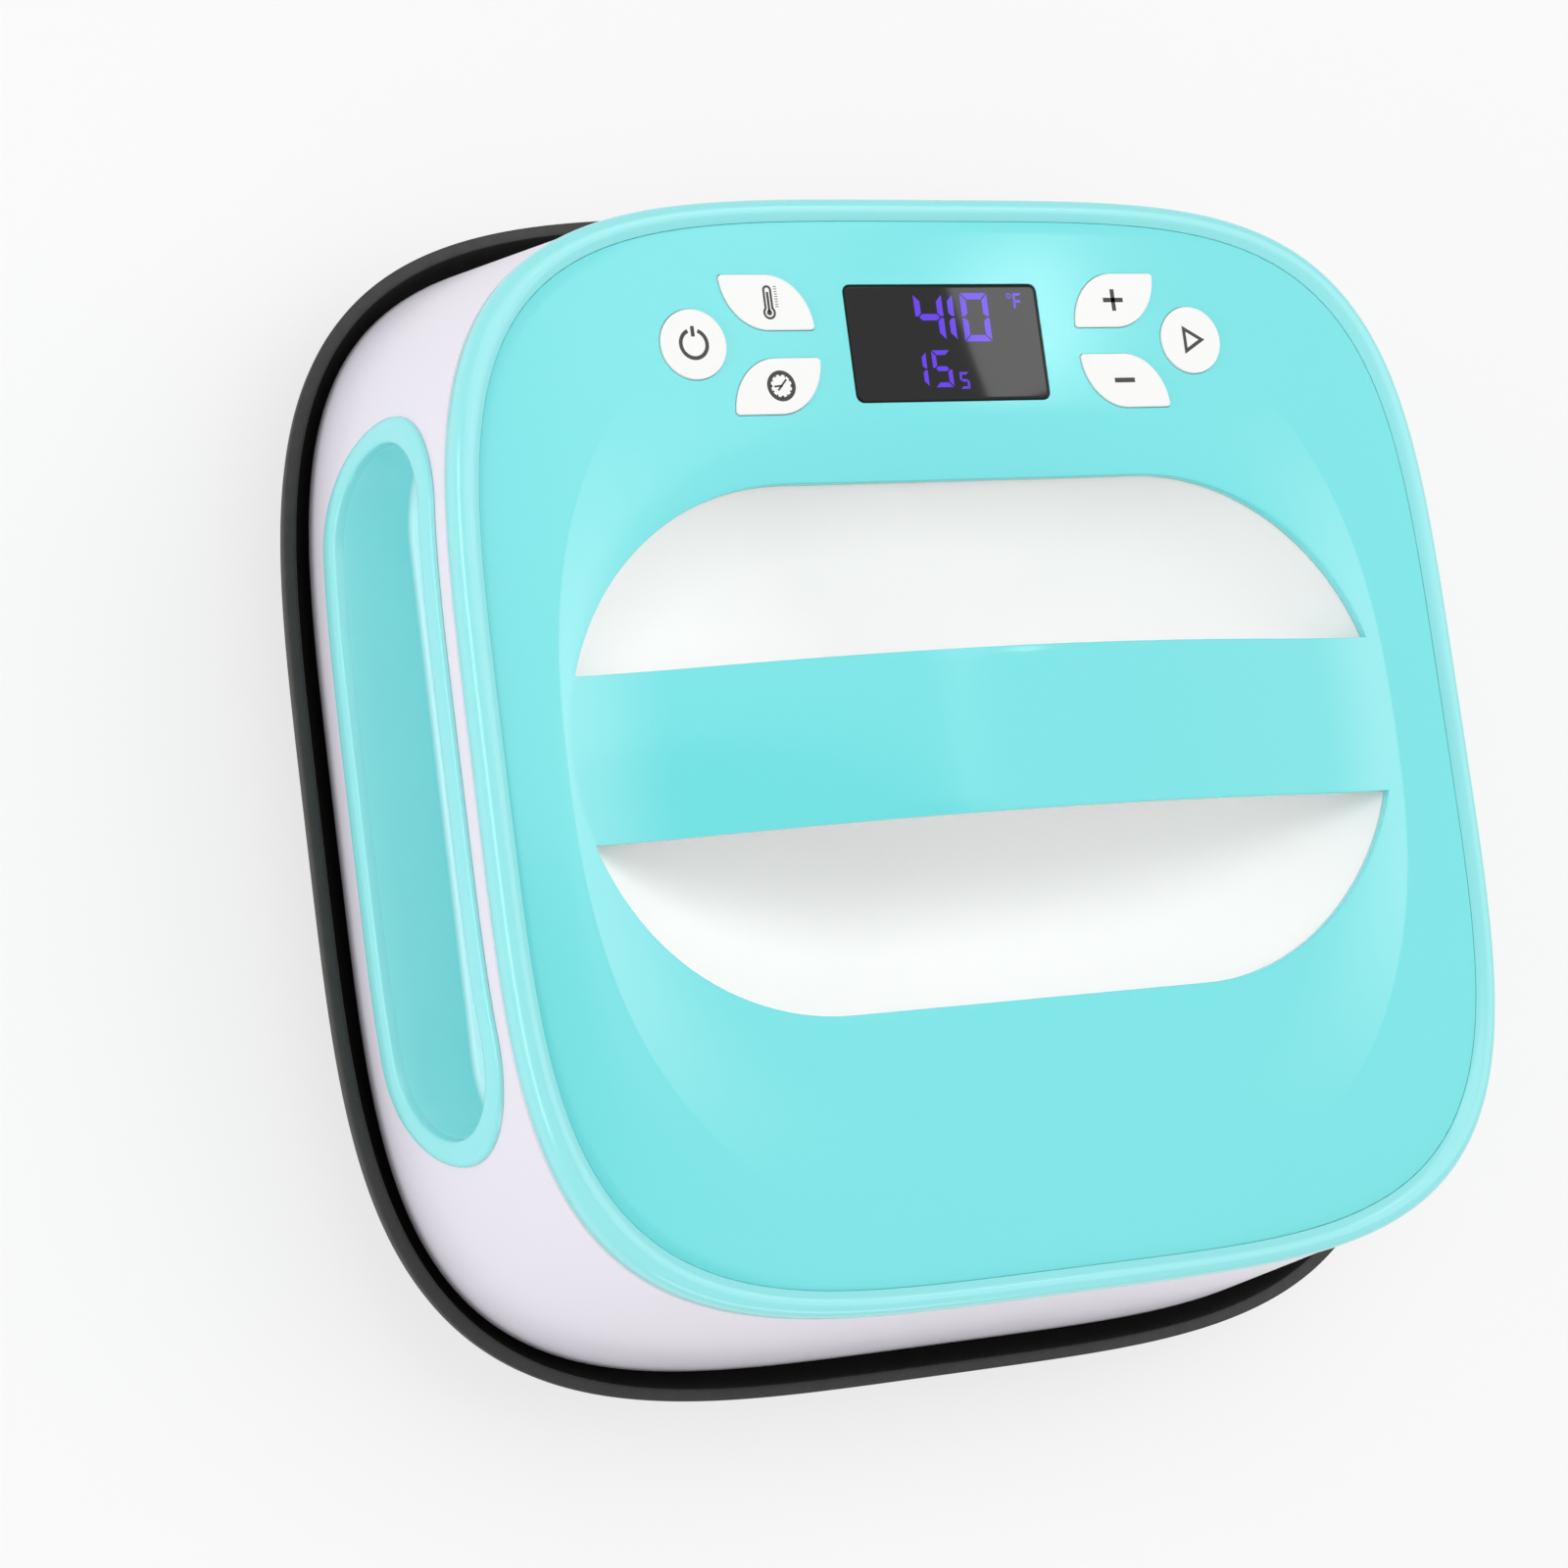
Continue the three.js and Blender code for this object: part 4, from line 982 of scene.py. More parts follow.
def rail_level(x, y):
    """Level of the rails: trapezoid bars on the diagonals with soft round noses."""
    along = (np.abs(x) + np.abs(y)) / np.sqrt(2)
    across = (np.abs(x) - np.abs(y)) / np.sqrt(2)
    corner = TRAY_INNER * 2 ** (-1 / TRAY_POWER) * np.sqrt(2)
    nose = corner - CORNER_GAP - RAIL_LENGTH + RAIL_HALF
    distance = np.hypot(across, np.maximum(nose - along, 0))
    slope = (RAIL_HALF - distance) / RAIL_SLOPE
    return RAIL_ROOT + smooth_step((slope + RAIL_SOFT) / (1 + 2 * RAIL_SOFT)) * (RAIL_TOP - RAIL_ROOT)


def soft_higher(first, second, blend):
    """The higher of two levels, with a fillet where they cross."""
    gap = np.clip(0.5 + (first - second) / (2 * blend), 0, 1)
    return second + (first - second) * gap + blend * gap * (1 - gap)


print("rails stand", round((RAIL_TOP - TRAY_FLOOR) / MM, 1), "mm over the floor")

# %% [markdown]
# The rows of the tray start in the middle of its floor, climb the wall, go over the lip and come
# back underneath to the middle. Each row is the tray's outline at another width, so one grid without
# a seam covers all of it.

# %% Tray
TRAY_COLUMNS = 576
FLOOR_ROWS, CLIMB_ROWS, LIP_ROWS, UNDER_ROWS = 60, 26, 9, 18
RAIL_FILLET = 0.9 * MM
LIP_DROP = 0.5 * MM
UNDER_FILLET = TRAY_FILLET + 1.5 * MM

tray_loop = full_turn(TRAY_COLUMNS, TRAY_POWER)
climb_turn = np.linspace(0, np.pi / 2, CLIMB_ROWS)[1:]
halves = np.concatenate([
    np.linspace(0, TRAY_INNER - TRAY_FILLET, FLOOR_ROWS),
    TRAY_INNER - TRAY_FILLET * (1 - np.sin(climb_turn)),
])
flat = halves[:, None, None] * tray_loop
rails = rail_level(flat[..., 0], flat[..., 1])
plain = np.broadcast_to(wall_level(halves)[:, None], rails.shape)
level = np.minimum(soft_higher(rails, plain, RAIL_FILLET), TRAY_TOP)
level[-1] = TRAY_TOP
tray_inside = np.concatenate([flat, level[..., None]], -1)

lip_turn = np.linspace(0, np.pi, LIP_ROWS)[1:-1]
lip_half = (TRAY_OUTER + TRAY_INNER) / 2 - (TRAY_OUTER - TRAY_INNER) / 2 * np.cos(lip_turn)
lip_level = TRAY_TOP - LIP_DROP * (1 - np.sin(lip_turn) ** 0.5)
under_turn = np.linspace(np.pi / 2, 0, UNDER_ROWS)
under_half = TRAY_OUTER - UNDER_FILLET * (1 - np.sin(under_turn))
under_level = TRAY_TOP - (TRAY_TOP - tray_low.z) * np.cos(under_turn)
under_level[0] -= LIP_DROP
outer_section = np.concatenate([
    np.stack([lip_half, lip_level], -1),
    np.stack([under_half, under_level], -1),
    [[TRAY_OUTER / 2, tray_low.z], [0, tray_low.z]],
])
tray_rows = np.concatenate([tray_inside, ring_around(outer_section, tray_loop)[0]])
tray = make_object("tray", [(tray_rows, grid_quads(len(tray_rows), TRAY_COLUMNS, False, True))])
print("tray quads", len(tray.data.polygons))

# %% [markdown]
# Four soft rubber feet stand under the tray. They are turned too: a flat sole, a rounded edge and an
# upright side that goes up to the tray.

# %% Feet
FOOT_GAP = 0.1 * MM

feet = []
for number in range(1, 5):
    name = f"base_foot_{number}"
    low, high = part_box(name)
    radius, foot_top = (high.x - low.x) / 2, high.z - FOOT_GAP
    points, quads = lathe(np.array([
        [0, low.z], [radius - 1.2 * MM, low.z], [radius - 0.4 * MM, low.z + 0.3 * MM],
        [radius, low.z + 1.0 * MM], [radius, foot_top], [0, foot_top],
    ]))
    feet.append(make_object(f"foot_{number}", [(points + [*middle_of(name), 0], quads)]))
print("feet", len(feet))

# %% [markdown]
# ## Buttons
#
# Each button is a white cap with a thin flange that keeps it under the face and a stem that reaches
# the switch. Every cap rides its own body, so that it moves when it is pressed. The signs are thin
# prints of dark ink that stand a hair proud of the caps.

# %% Caps
cap_low, cap_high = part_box("power_button")
CAP_TOP = cap_high.z
CAP_ROUND = 0.28 * MM
CAP_INSET = 0.4 * MM
FLANGE = 1.0 * MM
FLANGE_LOW = cap_low.z + 1.2 * MM
FLANGE_HIGH = FLANGE_LOW + 0.9 * MM
STEM_RADIUS = 2.5 * MM
STEM_TOP = FLANGE_LOW + 0.2 * MM


def cap_rings(outline):
    """Rings from the flange's underside up to the rounded top edge."""
    turn = np.radians(np.linspace(0, 90, 6))
    edge = zip(CAP_ROUND * (np.cos(turn) - 1), CAP_TOP - CAP_ROUND * (1 - np.sin(turn)))
    rings = [(FLANGE, FLANGE_LOW), (FLANGE, FLANGE_HIGH), (0, FLANGE_HIGH), *edge]
    rings.append((-CAP_ROUND - CAP_INSET, CAP_TOP))
    return stack_rings([lift(outline(grow), level) for grow, level in rings])


caps = {}
for name, outline in BUTTONS.items():
    stem = stack_rings([lift(circle(STEM_RADIUS, 32), level) for level in (cap_low.z, STEM_TOP)])
    centre = [*button_middles[name], 0]
    parts = [(points + centre, faces) for points, faces in (cap_rings(outline), stem)]
    caps[name] = make_object(f"cap_{name}", parts)
print("caps", sorted(caps))

# %% [markdown]
# ### Signs
#
# A sign is drawn with strokes of one width. A stroke is a path with its points pushed half a width
# to each side, along the mitre where two parts of the path meet. A bevelled curve would make round
# cords, where a print is flat.

# %% Strokes
INK = 0.04 * MM
SIGN_LOW = CAP_TOP - INK / 2
MITRE_LIMIT = 0.5


def stroke(path, width, closed=False):
    """Left and right borders of a path at half a width, mitred at each bend; in millimetres."""
    path = np.asarray(path, float) * MM
    step = np.diff(np.concatenate([path, path[:1]]) if closed else path, axis=0)
    step /= np.linalg.norm(step, axis=1, keepdims=True)
    before = np.concatenate([step[-1:] if closed else step[:1], step[: len(path) - 1]])
    after = step if closed else np.concatenate([step, step[-1:]])
    normal = np.stack([-before[:, 1] - after[:, 1], before[:, 0] + after[:, 0]], -1)
    normal /= np.linalg.norm(normal, axis=1, keepdims=True)
    mitre = normal[:, 0] * -before[:, 1] + normal[:, 1] * before[:, 0]
    push = normal * (width * MM / 2 / np.maximum(mitre, MITRE_LIMIT))[:, None]
    return path + push, path - push


def ink_stroke(path, width, low=SIGN_LOW, closed=False):
    """A closed strip of ink along a path, from a level up by the ink's thickness."""
    left, right = stroke(path, width, closed)
    section = np.stack([
        lift(left, low), lift(right, low), lift(right, low + INK), lift(left, low + INK),
    ])
    faces = [grid_quads(4, len(left), True, closed)]
    if not closed:
        end = np.arange(4)[None] * len(left)
        faces += [end, end + len(left) - 1]
    return section, faces


def ink_patch(outline, low=SIGN_LOW):
    """A closed flat patch of ink with that outline, given in millimetres."""
    outline = np.asarray(outline, float) * MM
    return stack_rings([lift(outline, low), lift(outline, low + INK)])


def round_path(radius, start=0, stop=360, steps=49, centre=(0, 0)):
    """Points on a circle's arc round a centre, all in millimetres and degrees."""
    return arc(centre, radius, start, stop, steps)


def moved(parts, centre):
    """Patches moved sideways to a centre."""
    return [(np.asarray(points) + [*centre, 0], faces) for points, faces in parts]


print("ink", INK / MM, "mm thick")

# %% [markdown]
# The signs are an on mark, a thermometer, a clock, plus and minus, and a triangle for start. Each is
# a list of strokes round the middle of its cap, with a shift where it stands a little off it.

# %% The six signs
tube = np.concatenate([
    round_path(0.95, 0, 180, 13, (0, 3.1)),
    round_path(1.45, 131, 409, 25, (0, -2.75)),
])
ticks = [ink_stroke([(1.9, y), (2.7, y)], 0.2) for y in np.linspace(-1.2, 4.0, 9)]
hour_marks = []
for hour in range(12):
    way = np.array([np.cos(np.radians(30 * hour)), np.sin(np.radians(30 * hour))])
    hour_marks.append(ink_stroke([2.55 * way, 3.15 * way], 0.7 if hour % 3 == 0 else 0.36))
DRAWINGS = {
    "power": ((0, 0), [
        ink_stroke(round_path(3.6, 112, 428), 1.0),
        ink_stroke([(0, 1.9), (0, 4.6)], 1.0),
    ]),
    "temperature": ((0.4, 0), [
        ink_stroke(tube, 0.6, closed=True),
        ink_stroke([(0, -2.6), (0, 2.6)], 0.66),
        ink_patch(round_path(0.72, 0, 352.5, 48, (0, -2.75))),
        *ticks,
    ]),
    "timer": ((0.6, 0), [
        ink_stroke(round_path(3.45, 0, 352.5, 48), 1.05, closed=True),
        ink_stroke([(-1.0, -1.15), (1.55, 1.65)], 0.5),
        ink_stroke([(-2.0, -0.15), (0.35, 0.05)], 0.5),
        *hour_marks,
    ]),
    "plus": ((-0.4, 0), [
        ink_stroke([(-3, 0), (3, 0)], 1.2),
        ink_stroke([(0, -2.9), (0, 2.9)], 1.2),
    ]),
    "minus": ((-0.4, 0), [ink_stroke([(-3.05, 0), (3.05, 0)], 1.25)]),
    "start": ((0, 0), [ink_stroke([(-1.9, 3.0), (3.2, 0), (-1.9, -3.0)], 0.95, closed=True)]),
}
signs = {}
for name, (shift, parts) in DRAWINGS.items():
    signs[name] = make_object(f"sign_{name}", moved(parts, button_middles[name] + np.array(shift) * MM))
print("signs", sorted(signs))

# %% [markdown]
# ## Display
#
# The window is a slab of smoked acrylic that covers a small lit display. Its top edge is polished
# round, which a stack of its own outlines gives with a ring for each step of the curve.

# %% Window
window_low, window_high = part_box("display_window")
under, over = window_low.z, window_high.z
window_rings = [
    (-0.15 * MM, under), (0, under + 0.15 * MM), (0, over - 0.3 * MM),
    (-0.1 * MM, over - 0.1 * MM), (-0.3 * MM, over), (-0.9 * MM, over),
]
window = make_object("window", [stack_rings([
    lift(window_outline(grow) + window_middle, level) for grow, level in window_rings
])])
print("window", round((over - under) / MM, 1), "mm thick")

# %% [markdown]
# The digits are seven straight segments with mitred ends. They are made as thin glowing patches on
# the window, since nothing behind the dark acrylic can be seen but the lit parts. A box and a width
# give all seven segments, so one function draws the large and the small digits.

# %% Segments of a digit
LIT_LOW = window_high.z - INK / 2
LIT_GAP = 0.26


def lit_segments(box, width, names, gap=LIT_GAP):
    """Segments of one digit in a box (left, bottom, right, top), in millimetres off the middle.

    The four outer sides are cut at 45 degrees at the corners, and the middle bar is pointed."""
    left, bottom, right, top = box
    middle = (bottom + top) / 2
    inner, half = width + gap, width / 2
    side = np.array([
        (left, top - gap), (left + width, top - inner), (left + width, middle + half + gap),
        (left + half, middle + gap), (left, middle + gap),
    ])
    bar = np.array([
        (left + gap, top), (right - gap, top), (right - inner, top - width),
        (left + inner, top - width),
    ])
    pointed = np.array([
        (left + half + gap, middle), (left + inner, middle + half), (right - inner, middle + half),
        (right - half - gap, middle), (right - inner, middle - half), (left + inner, middle - half),
    ])
    over = np.array([left + right, 0])
    turned_over = np.array([0, bottom + top])
    shapes = {
        "top": bar, "middle": pointed, "bottom": turned_over + bar * [1, -1],
        "upper_left": side, "upper_right": over + side * [-1, 1],
        "lower_left": turned_over + side * [1, -1], "lower_right": over + turned_over - side,
    }
    return [ink_patch(shapes[name], LIT_LOW) for name in names]


print("patches of a bar", len(lit_segments((0, 0, 8, 12), 1.5, ["middle"])))

# %% Lit digits
ONE = ["upper_right", "lower_right"]
FOUR = ["upper_left", "middle", *ONE]
FIVE = ["top", "upper_left", "middle", "lower_right", "bottom"]
ZERO = ["top", "bottom", "upper_left", "lower_left", *ONE]
LETTER_F = ["top", "upper_left", "middle", "lower_left"]
LARGE, MIDDLE, SMALL = 1.7, 1.25, 0.65
SMALL_GAP = 0.07

lit_parts = [
    *lit_segments((-8.3, 0.6, -0.1, 12.8), LARGE, FOUR),
    *lit_segments((-4.9, 0.6, 3.1, 12.8), LARGE, ONE),
    *lit_segments((5.3, 0.2, 13.3, 13.0), LARGE, ZERO),
    *lit_segments((-13.0, -11.6, -6.9, -2.3), MIDDLE, ONE),
    *lit_segments((-5.2, -11.7, 0.3, -2.0), MIDDLE, FIVE),
    *lit_segments((2.2, -12.2, 4.9, -7.8), SMALL, FIVE, SMALL_GAP),
    *lit_segments((21.0, 8.5, 23.7, 12.9), SMALL, LETTER_F, SMALL_GAP),
    ink_stroke(round_path(0.6, 0, 345, 24, (19.8, 12.2)), 0.3, LIT_LOW, closed=True),
]
digits = make_object("digits", moved(lit_parts, window_middle))
print("lit patches", len(lit_parts))

# %% [markdown]
# ## Finishes
#
# The press is mostly moulded plastic, so most materials share one node group. It takes a colour and
# a roughness, lets both drift a little from place to place as real mouldings do, and adds a fine
# grain to the surface. A second group does the same for metal. Image textures would need their seams
# placed on every piece, where noise about a point of the piece itself has none.

# %% Node helpers
def linear(*screen):
    """Turns screen values from 0 to 255 into the linear colour that a shader takes."""
    share = np.array(screen) / 255
    value = np.where(share <= 0.04045, share / 12.92, ((share + 0.055) / 1.055) ** 2.4)
    return (*[float(v) for v in value], 1.0)


def node(tree, kind, feeds=None, **choices):
    """Adds a node, sets its choices and feeds its inputs from other sockets or plain values."""
    made = tree.nodes.new(kind)
    for key, value in choices.items():
        setattr(made, key, value)
    for key, value in (feeds or {}).items():
        if isinstance(value, bpy.types.NodeSocket):
            tree.links.new(value, made.inputs[key])
        else:
            made.inputs[key].default_value = value
    return made


def math(tree, operation, *values):
    """The result of a maths node."""
    return node(tree, "ShaderNodeMath", dict(enumerate(values)), operation=operation).outputs[0]


def ramp(tree, value, start, stop, first, last, kind="LINEAR"):
    """A value led from one range into another; it stays level before and after."""
    feeds = {"Value": value, "From Min": start, "From Max": stop, "To Min": first, "To Max": last}
    return node(tree, "ShaderNodeMapRange", feeds, interpolation_type=kind).outputs[0]


def mixed_colour(tree, share, plain, other):
    """Two colours mixed by the second one's share."""
    return node(tree, "ShaderNodeMix", {0: share, 6: plain, 7: other}, data_type="RGBA").outputs[2]


def own_place(tree):
    """Where a point is on the piece itself."""
    return node(tree, "ShaderNodeTexCoord").outputs["Object"]


def noise(tree, place, scale, detail=2.0):
    """Noise from 0 to 1 about a place."""
    feeds = {"Vector": place, "Scale": scale, "Detail": detail}
    return node(tree, "ShaderNodeTexNoise", feeds).outputs[0]


def drifted(tree, middle, amount, share):
    """A value that drifts about its middle by an amount, as a noise from 0 to 1 says."""
    return math(tree, "MULTIPLY_ADD", math(tree, "SUBTRACT", share, 0.5), amount, middle)


print("half bright on the screen is", round(linear(128, 128, 128)[0], 3), "in light")

# %% [markdown]
# Both groups have the same three outputs: a colour, a roughness and a normal that follows the height
# of the grain. In the second one the grain is drawn out one way, by the brush or the rolling mill.

# %% Shared surface groups
def new_group(name, inputs):
    """A node group with named inputs, each with its usual value, and a surface's three outputs."""
    kinds = {float: "NodeSocketFloat", tuple: "NodeSocketColor"}
    tree = bpy.data.node_groups.new(name, "ShaderNodeTree")
    for label, value in inputs.items():
        socket = tree.interface.new_socket(label, in_out="INPUT", socket_type=kinds[type(value)])
        socket.default_value = value
    for label, kind in (("Color", "Color"), ("Roughness", "Float"), ("Normal", "Vector")):
        tree.interface.new_socket(label, in_out="OUTPUT", socket_type=f"NodeSocket{kind}")
    return tree, tree.nodes.new("NodeGroupInput").outputs


def finish_group(tree, colour, brightness, roughness, height, depth):
    """Feeds a group's outputs: the scaled colour, the roughness and the normal of a height."""
    result = tree.nodes.new("NodeGroupOutput").inputs
    tint = node(tree, "ShaderNodeVectorMath", {0: colour, "Scale": brightness}, operation="SCALE")
    bump = node(tree, "ShaderNodeBump", {"Height": height, "Distance": depth})
    tree.links.new(tint.outputs[0], result["Color"])
    tree.links.new(roughness, result["Roughness"])
    tree.links.new(bump.outputs[0], result["Normal"])


moulded, given = new_group("moulded surface", {
    "Color": (0.8, 0.8, 0.8, 1.0), "Variation": 0.04, "Patch Scale": 14.0,
    "Roughness": 0.35, "Spread": 0.06, "Grain Scale": 600.0, "Grain Depth": 0.00001,
})
at = own_place(moulded)
patches = noise(moulded, at, given["Patch Scale"], 3.0)
blotches = noise(moulded, at, math(moulded, "MULTIPLY", given["Patch Scale"], 4.0))
finish_group(
    moulded, given["Color"], drifted(moulded, 1.0, given["Variation"], patches),
    drifted(moulded, given["Roughness"], given["Spread"], blotches),
    noise(moulded, at, given["Grain Scale"]), given["Grain Depth"],
)

drawn, given = new_group("drawn metal", {
    "Color": (0.7, 0.7, 0.7, 1.0), "Roughness": 0.35, "Spread": 0.15,
    "Line Scale": 900.0, "Line Stretch": 0.03, "Line Depth": 0.00002,
})
squeeze = node(drawn, "ShaderNodeCombineXYZ", {0: given["Line Stretch"], 1: 1.0, 2: 1.0}).outputs[0]
at = node(drawn, "ShaderNodeVectorMath", {0: own_place(drawn), 1: squeeze}, operation="MULTIPLY")
lines = noise(drawn, at.outputs[0], given["Line Scale"], 3.0)
finish_group(
    drawn, given["Color"], drifted(drawn, 1.0, 0.12, lines),
    drifted(drawn, given["Roughness"], given["Spread"], lines), lines, given["Line Depth"],
)
print("groups", moulded.name, "and", drawn.name)

# %% [markdown]
# A material is one line from here on: its name, its colour as a screen shows it, its roughness, and
# what else differs from the group's usual values.

# %% Material helpers
def tree_and_shader(material):
    """The node tree of a material and its shader's node."""
    return material.node_tree, material.node_tree.nodes["Principled BSDF"]


def surface_material(group, name, screen, roughness, **more):
    """A material whose colour, roughness and normal come from a shared group."""
    made = bpy.data.materials.new(name)
    made.use_nodes = True
    tree, shader = tree_and_shader(made)
    source = node(tree, "ShaderNodeGroup", node_tree=group)
    for label, value in {"Color": linear(*screen), "Roughness": roughness, **more}.items():
        source.inputs[label.replace("_", " ")].default_value = value
    for label, target in (("Color", "Base Color"), ("Roughness", "Roughness"), ("Normal", "Normal")):
        tree.links.new(source.outputs[label], shader.inputs[target])
    return made


def set_shader(material, **values):
    """Sets plain values of a material's shader."""
    for label, value in values.items():
        tree_and_shader(material)[1].inputs[label.replace("_", " ")].default_value = value


def glance(material, level):
    """Sets how much a plastic reflects straight on, where 0.5 is usual."""
    set_shader(material, Specular_IOR_Level=level)


def recolour(material, change):
    """Puts a change of colour, which takes the tree and the plain colour, before the shader."""
    tree, shader = tree_and_shader(material)
    plain = shader.inputs["Base Color"].links[0].from_socket
    tree.links.new(change(tree, plain), shader.inputs["Base Color"])


plastic = partial(surface_material, moulded)
metal = partial(surface_material, drawn)
print("shared groups", len(bpy.data.node_groups))

# %% Glossy and satin plastics
mint = plastic("mint gloss", (107, 219, 221), 0.12, Variation=0.02, Spread=0.04,
               Grain_Scale=170.0, Grain_Depth=0.0000015)
# The bead's mint is lighter than the face's: a painted highlight for the gloss along its curve.
bead_mint_painted_highlight = plastic("mint bead with painted highlight", (144, 226, 228), 0.16, Variation=0.02, Spread=0.04,
                   Grain_Scale=170.0, Grain_Depth=0.0000015)
white = plastic("white satin", (226, 222, 232), 0.34, Variation=0.02, Grain_Scale=420.0,
                Grain_Depth=0.000006)
bowl_white = plastic("white bowl", (251, 251, 250), 0.42, Variation=0.015, Grain_Scale=420.0,
                     Grain_Depth=0.000005)
cap_white = plastic("cap white", (240, 240, 238), 0.3, Variation=0.012, Grain_Scale=500.0,
                    Grain_Depth=0.000004)
smoked = plastic("smoked window", (3, 3, 4), 0.03, Variation=0.1, Spread=0.01,
                 Grain_Scale=60.0, Grain_Depth=0.0000004)
glance(mint, 0.36)
glance(smoked, 0.14)
glance(cap_white, 0.3)
print("glossy and satin plastics", len(bpy.data.materials))

# %% Dull plastics, ceramic and metals
sand_black = plastic("sandy black", (36, 36, 34), 0.62, Variation=0.25, Patch_Scale=60.0,
                     Spread=0.2, Grain_Scale=1700.0, Grain_Depth=0.00012)
dull_black = plastic("moulded black", (30, 30, 31), 0.5, Variation=0.1, Grain_Scale=1200.0,
                     Grain_Depth=0.00003)
rubber = plastic("rubber", (34, 34, 34), 0.8, Variation=0.2, Patch_Scale=90.0,
                 Grain_Scale=900.0, Grain_Depth=0.00006)
ink = plastic("ink", (26, 26, 27), 0.5, Variation=0.1, Grain_Scale=1500.0, Grain_Depth=0.000004)
glazed = plastic("glazed ceramic", (238, 235, 224), 0.25, Variation=0.05, Grain_Scale=500.0,
                 Grain_Depth=0.00001)
blue = plastic("blue moulding", (50, 96, 168), 0.4, Variation=0.06, Grain_Scale=900.0,
               Grain_Depth=0.00002)
grey = plastic("grey tape", (138, 140, 145), 0.55, Variation=0.12, Patch_Scale=120.0,
               Grain_Scale=1500.0, Grain_Depth=0.00003)
wool = plastic("fibre blanket", (228, 225, 214), 0.95, Variation=0.2, Patch_Scale=70.0,
               Grain_Scale=420.0, Grain_Depth=0.0008)
steel = metal("steel", (190, 192, 196), 0.32)
aluminium = metal("aluminium", (204, 206, 208), 0.42, Line_Scale=500.0, Line_Depth=0.00001)
for material in (steel, aluminium):
    set_shader(material, Metallic=1.0)
print("materials", len(bpy.data.materials))

# %% [markdown]
# ### The painted reflection in the dish
#
# The real face looks a shade paler just inside the dish's border, left and right of the wells, where
# its gloss mirrors something bright. No mirrored lamp would show in the shallow dish and leave the
# flat face round it alone, so this reflection is painted into the coat's colour. The painted share
# grows towards the border, ends sharply on it, and fades towards the back and the front.

# %% Painted reflection in the dish
SHEEN_HALF_X = WELL_HALF + 1.3 * MM
SHEEN_BACK, SHEEN_FRONT = 120 * MM, 125 * MM
SHEEN_POWER = 2.5
SHEEN_START, SHEEN_EDGE = 0.76, 1.004
SHEEN_MOST = 0.8
SHEEN_MIDDLE = -8 * MM
SHEEN_FADE = (32 * MM, 104 * MM)


def paint_dish_reflection(tree, plain):
    """Paints a reflection into the coat: a lighter colour inside a superellipse, less and less away
    from its ends.
    """
    parts = node(tree, "ShaderNodeSeparateXYZ", {0: own_place(tree)})
    half = (SHEEN_BACK + SHEEN_FRONT) / 2
    from_middle = math(tree, "SUBTRACT", parts.outputs[1], (SHEEN_BACK - SHEEN_FRONT) / 2)
    powers = []
    for way, length in ((parts.outputs[0], SHEEN_HALF_X), (from_middle, half)):
        share = math(tree, "MULTIPLY", math(tree, "ABSOLUTE", way), 1 / length)
        powers.append(math(tree, "POWER", share, SHEEN_POWER))
    edge = math(tree, "POWER", math(tree, "ADD", *powers), 1 / SHEEN_POWER)
    inner = ramp(tree, edge, SHEEN_START, 1.0, 0, SHEEN_MOST, "SMOOTHSTEP")
    border = ramp(tree, edge, 1.0, SHEEN_EDGE, 1, 0)
    away = math(tree, "ABSOLUTE", math(tree, "SUBTRACT", parts.outputs[1], SHEEN_MIDDLE))
    level = ramp(tree, away, *SHEEN_FADE, 1, 0, "SMOOTHSTEP")
    share = math(tree, "MULTIPLY", math(tree, "MULTIPLY", inner, border), level)
    return mixed_colour(tree, share, plain, linear(148, 232, 234))


recolour(mint, paint_dish_reflection)
print("band up to", round(SHEEN_HALF_X / MM, 1), "mm from the middle")

# %% [markdown]
# ### Coating, circuit board, pockets and lit digits
#
# Four more finishes need something of their own. The non-stick coating has pale flecks, which are
# the middles of scattered cells. The circuit boards show tracks, for which a brick pattern with
# long, shifted bricks stands in. A pocket's floor gets a painted highlight, so it is paler than
# its walls. The digits glow.

# %% Coating and board
coating = plastic("plate coating", (58, 58, 60), 0.42, Variation=0.15, Patch_Scale=40.0,
                  Spread=0.12, Grain_Scale=1300.0, Grain_Depth=0.00004)
board_green = plastic("circuit board", (31, 107, 58), 0.35, Variation=0.15, Patch_Scale=60.0,
                      Grain_Scale=300.0, Grain_Depth=0.00003)


def flecks(tree, plain):
    """Pale flecks at the middles of scattered cells."""
    feeds = {"Vector": own_place(tree), "Scale": 420.0, "Randomness": 1.0}
    distance = node(tree, "ShaderNodeTexVoronoi", feeds).outputs["Distance"]
    return mixed_colour(tree, math(tree, "LESS_THAN", distance, 0.17), plain, linear(128, 128, 130))


def tracks(tree, plain):
    """Paler lines where the joints of a brick pattern run."""
    joints = node(tree, "ShaderNodeTexBrick", {
        "Vector": own_place(tree), "Scale": 90.0, "Mortar Size": 0.05, "Mortar Smooth": 0.1,
        "Brick Width": 1.1, "Row Height": 0.28, "Color1": (0, 0, 0, 1), "Color2": (0, 0, 0, 1),
        "Mortar": (1, 1, 1, 1),
    }, offset=0.37, squash=0.6)
    return mixed_colour(tree, joints.outputs["Color"], plain, linear(74, 150, 92))


recolour(coating, flecks)
recolour(board_green, tracks)
print("flecked and tracked:", coating.name, "and", board_green.name)

# %% Pocket and lit digits
pocket_mint = plastic("pocket mint", (150, 226, 228), 0.3, Variation=0.03, Grain_Scale=200.0,
                      Grain_Depth=0.000005)
lit = plastic("lit digits", (20, 18, 26), 0.05, Variation=0.1, Grain_Scale=60.0,
              Grain_Depth=0.0000004)
FLOOR_EDGE = (1.0 * MM, 1.8 * MM)

